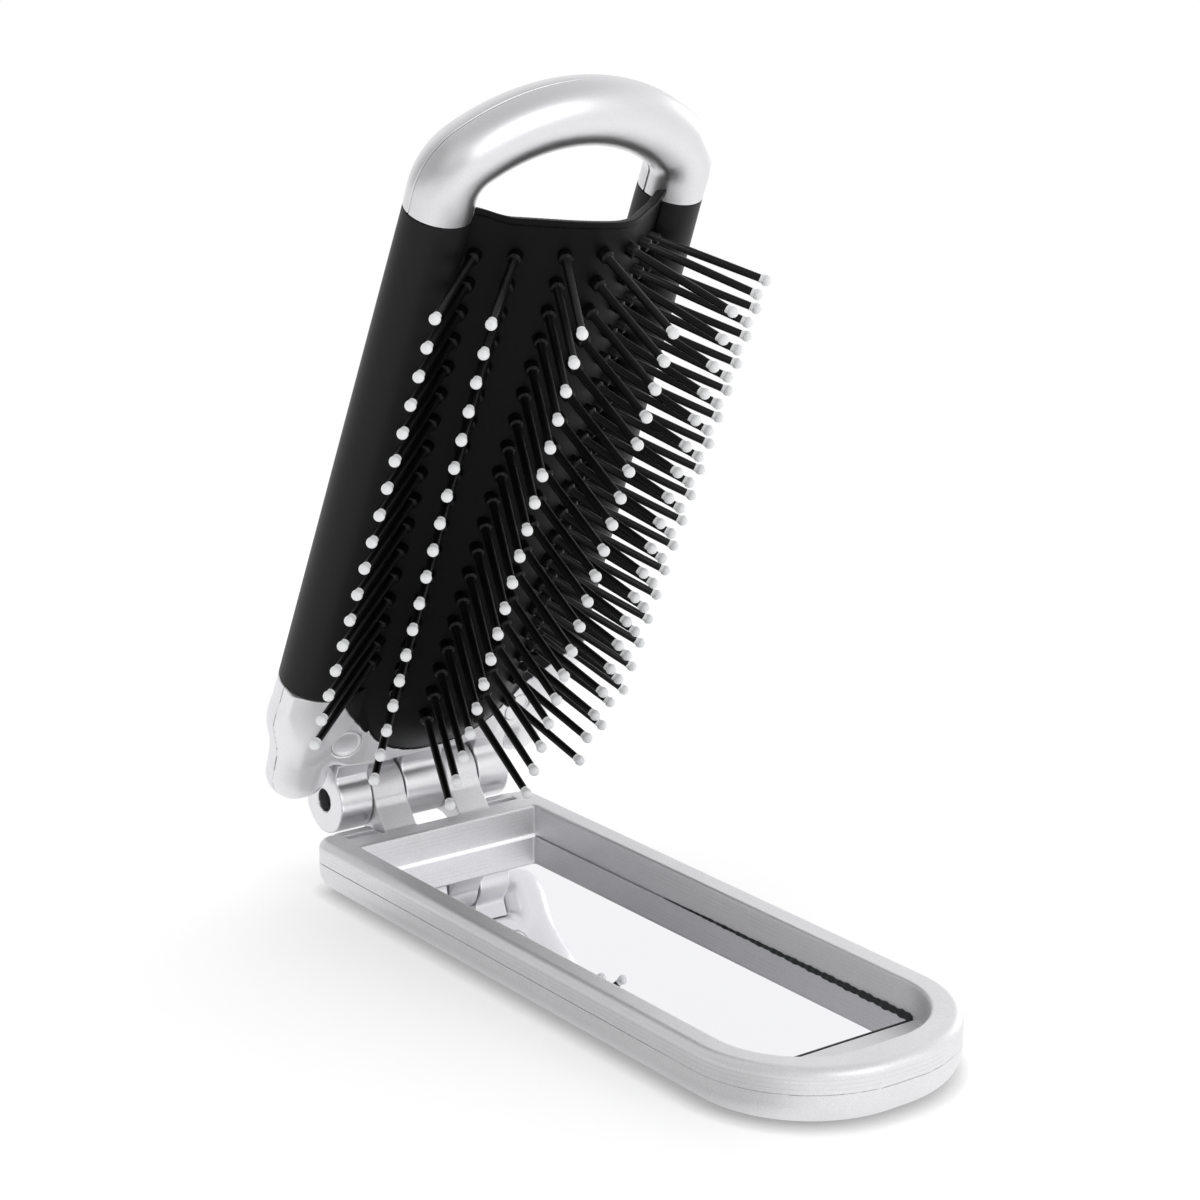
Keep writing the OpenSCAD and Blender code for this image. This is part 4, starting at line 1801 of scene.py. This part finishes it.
    def build(self) -> None:
        """Makes both shells and the plugs."""
        knuckles = ((2.9, 0.12), (3.7, 0.5), (8.4, 0.12), (9.2, 0.35))
        xs = both_sides(stations((0, 0.5), *knuckles, end=25.2))
        seam = ((-1.6, 0.1), (self.split_f - 0.02, 0.01), (self.split_f + 0.02, 0.1))
        vs = stations((0.4, 0.3), (20.9, 0.1), end=21.9)
        fs = stations(*seam, (-0.8, 0.28), end=4.4)
        skin = self.hairline(skin_of(self.front_shell(), xs, vs, fs), self.front_form())
        # The front shell takes the lighter copy of the lacquer, as painted light.
        make_piece("base_front", skin, LIGHTENED_SHELL)
        vs = stations((-5, 0.28), (20.9, 0.1), end=21.9)
        fs = stations((-7.0, 0.28), *seam, (-0.9, 0.28), end=5)
        skin = self.hairline(skin_of(self.back_shell(), xs, vs, fs), self.back_form())
        make_piece("base_back", skin, BRIGHT)
        r, rim = self.plug_r, [(self.plug_r - a, h) for a, h in self.plug_rim]
        profile = [(0.0, -self.plug_t), (r, -self.plug_t), *rim, (0.0, rim[-1][1])]
        for side, name in ((-1, "left"), (1, "right")):
            make_piece(f"plug_{name}", lathe(profile, *self.plug_axis(side), 48), LIGHTENED_SHELL, sharp=50.0)
        dress_node("base_screws", STEEL)
        # The pin's near-black finish is painted shade in its bore.
        dress_node("hinge_pin", PIN_PAINTED_SHADE)


@dataclass
class Loop:
    """The silver loop above the rails, in two halves."""

    rails: Rails
    leg: float = 2.6
    rise: float = 9.7
    corner_r: float = 6.0
    bore_r: float = 2.4
    split_gap: float = 0.1
    edge_r: float = 0.18
    corner_steps: int = 22
    crown_steps: int = 30
    outer_steps: int = 33
    edge_steps: int = 6
    bore_steps: int = 17

    def path(self) -> tuple[Array, Array]:
        """Centre line of the tube, from left to right: legs, corners and the flatter crown.

        Returns:
            Its points, and the outward normal at each.
        """
        x, spring = self.rails.x_top, self.rails.seam_top + self.leg
        crown_r = (x * x + self.rise**2 - 2 * x * self.corner_r) / (2 * (self.rise - self.corner_r))
        crown_v = spring + self.rise - crown_r
        meet = math.pi / 2 - math.atan2(x - self.corner_r, spring - crown_v)
        start = self.rails.seam_top + self.rails.seam_gap / 2
        right = [((x, v), (1.0, 0.0)) for v in (start, start + 0.1, spring - 0.2)]
        corner = (x - self.corner_r, spring, self.corner_r, np.linspace(0.0, meet, self.corner_steps))
        crown = (0.0, crown_v, crown_r, np.linspace(meet, math.pi / 2, self.crown_steps)[1:])
        for centre_x, centre_v, r, turns in (corner, crown):
            for a in turns:
                out = (math.cos(a), math.sin(a))
                right.append(((centre_x + r * out[0], centre_v + r * out[1]), out))
        half = np.array(right)
        both = np.concatenate([half * np.array([-1.0, 1.0]), half[-2::-1]])
        return both[:, 0], both[:, 1]

    def section(self, side: int) -> Array:
        """Half-ring section of the tube, its outer edges at the joint rounded.

        Args:
            side: 1 for the half in front of the joint, -1 for the one behind it.

        Returns:
            Its points (outwards, z), anticlockwise.
        """
        r, lift, edge = self.rails.r_top, self.split_gap / 2, self.edge_r
        start = math.asin((lift + edge) / (r - edge))
        turns = np.linspace(start, math.pi - start, self.outer_steps)
        outer = [(r * math.cos(a), r * math.sin(a)) for a in turns]
        cx = (r - edge) * math.cos(start)
        corner = [
            (cx + edge * math.cos(a), lift + edge + edge * math.sin(a))
            for a in np.linspace(-math.pi / 2, start, self.edge_steps)[:-1]
        ]
        other = [(-x, f) for x, f in corner[::-1]]
        low = math.asin(lift / self.bore_r)
        turns = np.linspace(math.pi - low, low, self.bore_steps)
        inner = [(self.bore_r * math.cos(a), self.bore_r * math.sin(a)) for a in turns]
        ring = np.array(corner + outer + other + inner)
        return ring if side > 0 else (ring * np.array([1.0, -1.0]))[::-1]

    def build(self) -> None:
        """Makes both halves."""
        places, normals = self.path()
        for side, name in ((1, "front"), (-1, "back")):
            skin = sweep(self.section(side), places, normals)
            skin.points[:, 2] += self.rails.f_top
            skin.faces = [face[::-1] for face in skin.faces]
            make_piece(f"loop_{name}", skin, ARCH, sharp=38.0)


@dataclass(frozen=True)
class Column:
    """Where the bristles of a column stand, and of its mirror image on the other side.

    Values with grow are what a place changes by over one span up the head. The right-hand
    columns aren't quite the mirror image: their tips start off by right_start at the top, and
    are right_step further off with each row.
    """

    root_x: float
    tip_x: float
    tip_f: float
    tip_below: float
    root_low: float
    root_grow: float = 0.0
    grow_x: float = 0.0
    grow_f: float = 0.0
    fan_v: float = 0.0
    right_start: Point = (0.0, 0.0, 0.0)
    right_step: Point = (0.0, 0.0, 0.0)


@dataclass
class Bristles:
    """Seven columns of bristles with root bosses and ball tips."""

    rails: Rails
    pad: Pad
    pitch: float = 4.0
    pin_r: float = 0.55
    boss_r: float = 0.93
    boss_h: float = 1.2
    boss_deep: float = 0.7
    # Share of the radius, and height above the boss, round the boss's edge and up the pin's foot.
    boss_edge: Table = ((1.0, -0.25), (0.96, -0.08), (0.86, 0.0))
    pin_foot: Table = ((1.2, 0.03), (1.0, 0.2))
    pin_taper: Pair = (0.98, 0.92)
    pin_sides: int = 14
    ball_sides: int = 18
    ball_steps: int = 11
    ball_r: float = 0.72
    neck_r: float = 0.97
    neck_down: Pair = (-1.2, -0.95)
    neck_turn: float = -0.70
    drop: float = 2.06
    grow_v: float = 0.51
    mid_below: float = 41.2
    span: float = 36.0
    fan_rows: float = 3.5
    fold_lean: float = 0.5
    fold_lift: float = 0.1
    columns: tuple[Column, ...] = (
        Column(0.0, 0.0, 24.95, 3.2, -2.4, grow_f=0.87),
        Column(
            *(4.85, 11.17, 22.78, 3.7, -2.9),
            root_grow=-0.85,
            grow_x=0.11,
            grow_f=0.25,
            right_start=(0.0, 0.25, -0.25),
            right_step=(-0.03, 0.05, -0.07),
        ),
        Column(
            *(9.43, 20.03, 17.04, 5.3, -0.5),
            root_grow=-0.4,
            grow_x=-0.34,
            grow_f=-0.37,
            fan_v=0.8,
            right_start=(0.35, -0.1, 0.45),
            right_step=(-0.18, -0.05, -0.12),
        ),
        Column(
            *(13.28, 25.73, 12.0, 6.5, 2.3),
            grow_x=-1.06,
            grow_f=0.54,
            fan_v=1.8,
            right_start=(0.3, 0.0, 0.25),
            right_step=(-0.18, -0.15, -0.03),
        ),
    )

    def ends(self, number: int) -> list[tuple[Array, Array]]:
        """Root and tip of each bristle in a column from -3 to 3.

        Args:
            number: which column, 0 the middle one.

        Returns:
            Pairs of root and tip, from the top down.
        """
        column, side = self.columns[abs(number)], -1 if number < 0 else 1
        first = self.rails.seam_top - column.tip_below
        room = first + self.drop - self.pad.low_v - column.root_low
        last = math.floor(room / self.pitch + 1e-6)
        found = []
        for i in range(last + 1):
            v = first - i * self.pitch
            t = (v - self.rails.seam_top + self.mid_below) / self.span
            fan = column.fan_v * max(0.0, 1.0 - (last - i) / self.fan_rows) ** 2
            x = column.root_x + column.root_grow * (t - 1.0)
            root = np.array([side * x, v + self.drop + fan, self.pad.surface(x)])
            out, up = column.tip_x + column.grow_x * t, v + self.grow_v * t
            tip = np.array([side * out, up, column.tip_f + column.grow_f * t])
            if side > 0:
                tip = tip + np.array(column.right_start) + i * np.array(column.right_step)
            found.append((root, tip))
        return found

    def fold(self, ends: list[tuple[Array, Array]]) -> tuple[Array, Array]:
        """Where a column would draw in if the pad flattened straight back, so that its roots stay on it.

        Args:
            ends: root and tip of each bristle.

        Returns:
            The place that would stay, and the direction, which leans partly with the bristles.
        """
        root, tip = np.mean(ends, axis=0)
        way = (tip - root) * np.array([self.fold_lean, 0.0, 1.0])
        way = way / np.linalg.norm(way)
        travel = 0.0
        for _ in range(FOLD_TRIES):
            landed = self.pad.surface(abs((root - travel * way)[0]))
            landed = FOLD_F + FOLD_KEEP * (landed - FOLD_F) + self.fold_lift
            travel = (root[2] - landed) / way[2]
        return root - way * travel / (1.0 - FOLD_KEEP), way

    def pin(self, root: Array, tip: Array) -> Skin:
        """One bristle with its boss.

        Args:
            root: where it leaves the pad.
            tip: the middle of its ball.

        Returns:
            The skin of both.
        """
        along = tip - root
        length = float(np.linalg.norm(along))
        b, h, p = self.boss_r, self.boss_h, self.pin_r
        boss = [(0.0, -self.boss_deep), (b, -self.boss_deep)]
        boss += [(b * share, h + lift) for share, lift in self.boss_edge]
        boss += [(p * share, h + lift) for share, lift in self.pin_foot]
        middle, end = self.pin_taper
        shaft = [(p * middle, length * 0.5), (p * end, length - 0.3), (0.0, length - 0.1)]
        return lathe(boss + shaft, root, along / length, self.pin_sides)

    def ball(self, root: Array, tip: Array) -> Skin:
        """One ball tip, drawn in to a short neck towards its bristle.

        Args:
            root: where the bristle leaves the pad.
            tip: the middle of the ball.

        Returns:
            The skin of the ball.
        """
        along = (tip - root) / np.linalg.norm(tip - root)
        r = self.ball_r
        low, high = (r * down for down in self.neck_down)
        neck = [(0.0, low), (self.pin_r * self.neck_r, low), (self.pin_r, high)]
        turns = np.linspace(self.neck_turn, math.pi / 2, self.ball_steps)[:-1]
        profile = [*neck, *((r * math.cos(a), r * math.sin(a)) for a in turns), (0.0, r)]
        return lathe(profile, tip, along, self.ball_sides)

    def build(self) -> None:
        """Makes the columns of bristles and of tips."""
        outermost = len(self.columns) - 1
        for number, column in enumerate(range(-outermost, outermost + 1), start=1):
            ends = self.ends(column)
            pins = merge(self.pin(a, b) for a, b in ends)
            tips = merge(self.ball(a, b) for a, b in ends)
            anchor, way = self.fold(ends)
            fold_away(make_piece(f"pins_{number}", pins, NYLON, sharp=50.0), anchor, way)
            fold_away(make_piece(f"tips_{number}", tips, BEAD, sharp=60.0), anchor, way)


# ---------------------------------------------------------------------------
# Studio
# ---------------------------------------------------------------------------


@dataclass(frozen=True)
class Lamp:
    """A soft box."""

    name: str
    place: Point
    target: Point
    size: Pair
    power: float

    def build(self) -> None:
        """Hangs the lamp."""
        light = bpy.data.lights.new(self.name, "AREA")
        light.shape = "RECTANGLE"
        light.size, light.size_y = self.size
        light.energy = self.power
        lamp = shown(light)
        lamp.location = self.place
        aim = Vector(self.target) - Vector(self.place)
        lamp.rotation_euler = aim.to_track_quat("-Z", "Y").to_euler()


@dataclass(frozen=True)
class Patch:
    """A soft-edged patch of the floor where a shadow is painted, in metres: its sides each run from one
    place to another.
    """

    west: Pair
    east: Pair
    south: Pair
    north: Pair

    def mask(self, x: Wire, y: Wire) -> Wire:
        """1 on the patch and 0 round it."""
        across = x.ramp(*self.west) * (1.0 - x.ramp(*self.east))
        return across * y.ramp(*self.south) * (1.0 - y.ramp(*self.north))


@dataclass
class Studio:
    """Camera, white surroundings, floor and soft lamps.

    The surroundings and the floor are white to the camera. In gloss they are darker in some
    directions, each given by the range over which the change runs and the level that it ends at.
    """

    eye: Point = (-205.93, -271.82, 143.93)
    right: Point = (0.80602, -0.59189, 0.00138)
    up: Point = (0.15691, 0.21591, 0.96372)
    back: Point = (-0.57071, -0.77657, 0.26690)
    lens: float = 86.4
    sensor: float = 36.0
    light_level: float = 0.75
    light_tilt: float = 0.5
    light_way: Pair = (0.45, 0.85)
    behind: float = 0.98
    before: float = 0.80
    front_way: Pair = (-0.59, -0.81)
    front_turn: Pair = (-0.3, 0.6)
    horizon: float = 0.70
    band_height: Pair = (0.06, 0.24)
    ahead: Pair = (0.72, 0.96)
    leftward: float = 0.55
    left_way: Pair = (-0.92, 0.39)
    left_turn: Pair = (0.35, 0.85)
    overhead: float = 0.72
    overhead_height: Pair = (0.45, 0.95)
    floor_half: float = 4.0
    floor_below: float = 0.00005
    floor_glow: float = 0.27
    floor_matt: float = 0.80
    floor_seen: float = 1.03
    glow_seen: float = 0.23
    # Reach and depth of a contact shadow painted into the floor's colour from ambient occlusion.
    contact: float = 0.0025
    contact_depth: float = 0.75
    # Painted shadows, seen only in gloss: beside the part's left side, under the hinge, and broadly far to
    # the left.
    shadow_patch_left: Patch = Patch((-0.062, -0.034), (-0.021, -0.013), (-0.060, -0.044), (0.030, 0.050))
    shadow_patch_under: Patch = Patch((-0.016, -0.010), (0.010, 0.016), (0.044, 0.048), (0.055, 0.064))
    shadow_patch_depth: float = 1.2
    far_left: Pair = (-0.30, -0.06)
    far_left_depth: float = 0.25
    gloss_tone: float = 0.35
    gloss_lift: float = 0.2
    gloss_glow: float = 0.11
    far_dark: float = 0.3
    ahead_way: Pair = (-0.67, -0.74)
    ahead_reach: Pair = (0.3, 0.7)
    ahead_depth: float = 0.30
    fade: Pair = (0.16, 0.34)
    lamps: tuple[Lamp, ...] = (
        Lamp("front box", (0.13, -0.82, 0.40), (0.0, 0.0, 0.05), (0.60, 0.56), 1.7),
        Lamp("side box", (0.87, 0.23, 0.20), (0.0, 0.0, 0.05), (0.4, 0.4), 0.75),
    )

    def camera(self) -> None:
        """Sets the camera."""
        data = bpy.data.cameras.new("camera")
        data.sensor_width = self.sensor
        data.sensor_fit = "HORIZONTAL"
        data.lens = self.lens
        data.clip_start, data.clip_end = 0.01, 50.0
        eye = shown(data)
        turn = Matrix((self.right, self.up, self.back)).transposed().to_4x4()
        eye.matrix_world = Matrix.Translation(Vector(self.eye) * MM) @ turn
        bpy.context.scene.camera = eye

    def world(self) -> None:
        """White surroundings, which in gloss dim overhead, to the front and to the left."""
        world = bpy.data.worlds.new("studio")
        bpy.context.scene.world = world
        graph = Graph(world)
        seen, gloss, through = graph.rays("Camera", "Glossy", "Transmission")
        gloss = gloss.highest(through)
        way = graph.out("ShaderNodeTexCoord", output="Generated")
        height, near = graph.axis(way, "Z"), graph.along(way, self.front_way)
        band = (1.0 - abs(height).ramp(*self.band_height)) * near.ramp(*self.ahead)
        level = near.ramp(*self.front_turn) * (self.before - self.behind) + self.behind
        level = level.dimmed(height.ramp(*self.overhead_height), self.overhead)
        level = level.dimmed(band, self.horizon)
        level = level.dimmed(graph.along(way, self.left_way).ramp(*self.left_turn), self.leftward)
        matt = (graph.along(way, self.light_way) * self.light_tilt + 1.0) * self.light_level
        strength = seen + (1.0 - seen) * (gloss * level + (1.0 - gloss) * matt)
        shader = graph.node("ShaderNodeBackground", None, {"Color": WHITE, "Strength": strength})
        graph.node("ShaderNodeOutputWorld", None, {"Surface": shader.outputs[0]})

    def floor(self) -> None:
        """A white floor that keeps the part's shadow and fades into the surroundings; it also has a painted
        contact shadow, and painted shadows in gloss.
        """
        mesh = bpy.data.meshes.new("floor")
        s = self.floor_half
        mesh.from_pydata([(-s, -s, 0), (s, -s, 0), (s, s, 0), (-s, s, 0)], [], [(0, 1, 2, 3)])
        plane = shown(mesh)
        plane.location.z = -self.floor_below
        made = bpy.data.materials.new("floor")
        graph = Graph(made)
        seen, gloss = graph.rays("Camera", "Glossy")
        place = graph.place()
        x, y = graph.axis(place, "X"), graph.axis(place, "Y")
        reach = (x * x + y * y) ** 0.5
        # Painted shadows: in gloss the floor is darker on these patches and far to the left.
        left, under = self.shadow_patch_left.mask(x, y), self.shadow_patch_under.mask(x, y)
        far_left = 1.0 - x.ramp(*self.far_left)
        bright = 1.0 - left * self.shadow_patch_depth - under * self.shadow_patch_depth - far_left * self.far_left_depth
        tone = graph.noise(place, 3.0, 2.0) * 0.01 + self.floor_matt
        tone = tone + seen * (self.floor_seen - self.floor_matt)
        # Painted contact shadow: ambient occlusion darkens the floor's colour as the camera sees it.
        open_sky = graph.out("ShaderNodeAmbientOcclusion", {"samples": 8}, {"Distance": self.contact}, "AO")
        tone = tone * (1.0 - seen * (1.0 - open_sky) * self.contact_depth)
        tone = tone + gloss * (bright - 1.0) * self.gloss_tone
        colour = graph.out("ShaderNodeCombineColor", None, {0: tone, 1: tone, 2: tone})
        matt = graph.node("ShaderNodeBsdfDiffuse", None, {"Color": colour})
        lift = self.floor_glow + gloss * ((bright - 1.0) * self.gloss_lift + self.gloss_glow)
        lift = lift + seen * (self.glow_seen - self.floor_glow)
        glow = graph.node("ShaderNodeEmission", None, {"Color": WHITE, "Strength": lift})
        near = graph.node("ShaderNodeAddShader", None, {0: matt.outputs[0], 1: glow.outputs[0]})
        side = graph.along(place, self.ahead_way) / (reach + 0.001)
        dim = gloss * side.ramp(*self.ahead) * reach.ramp(*self.ahead_reach)
        strength = (1.0 - gloss * (1.0 - bright) * self.far_dark) * (1.0 - dim * self.ahead_depth)
        distant = graph.node("ShaderNodeEmission", None, {"Color": WHITE, "Strength": strength})
        both = {0: reach.ramp(*self.fade), 1: near.outputs[0], 2: distant.outputs[0]}
        mix = graph.node("ShaderNodeMixShader", None, both)
        graph.node("ShaderNodeOutputMaterial", None, {"Surface": mix.outputs[0]})
        mesh.materials.append(made)

    def build(self) -> None:
        """Sets up the whole studio."""
        self.camera()
        self.world()
        self.floor()
        for lamp in self.lamps:
            lamp.build()
        bpy.context.scene.view_settings.view_transform = "Standard"


def main() -> None:
    """Builds the studio and every piece."""
    logging.basicConfig(level=logging.INFO, format="%(name)s %(message)s")
    Studio().build()
    rails, pad = Rails(), Pad()
    base = Base(rails, pad)
    Handle().build()
    base.build()
    rails.build(pad)
    Loop(rails).build()
    pad.build(base)
    Bristles(rails, pad).build()


if __name__ == "__main__":
    main()
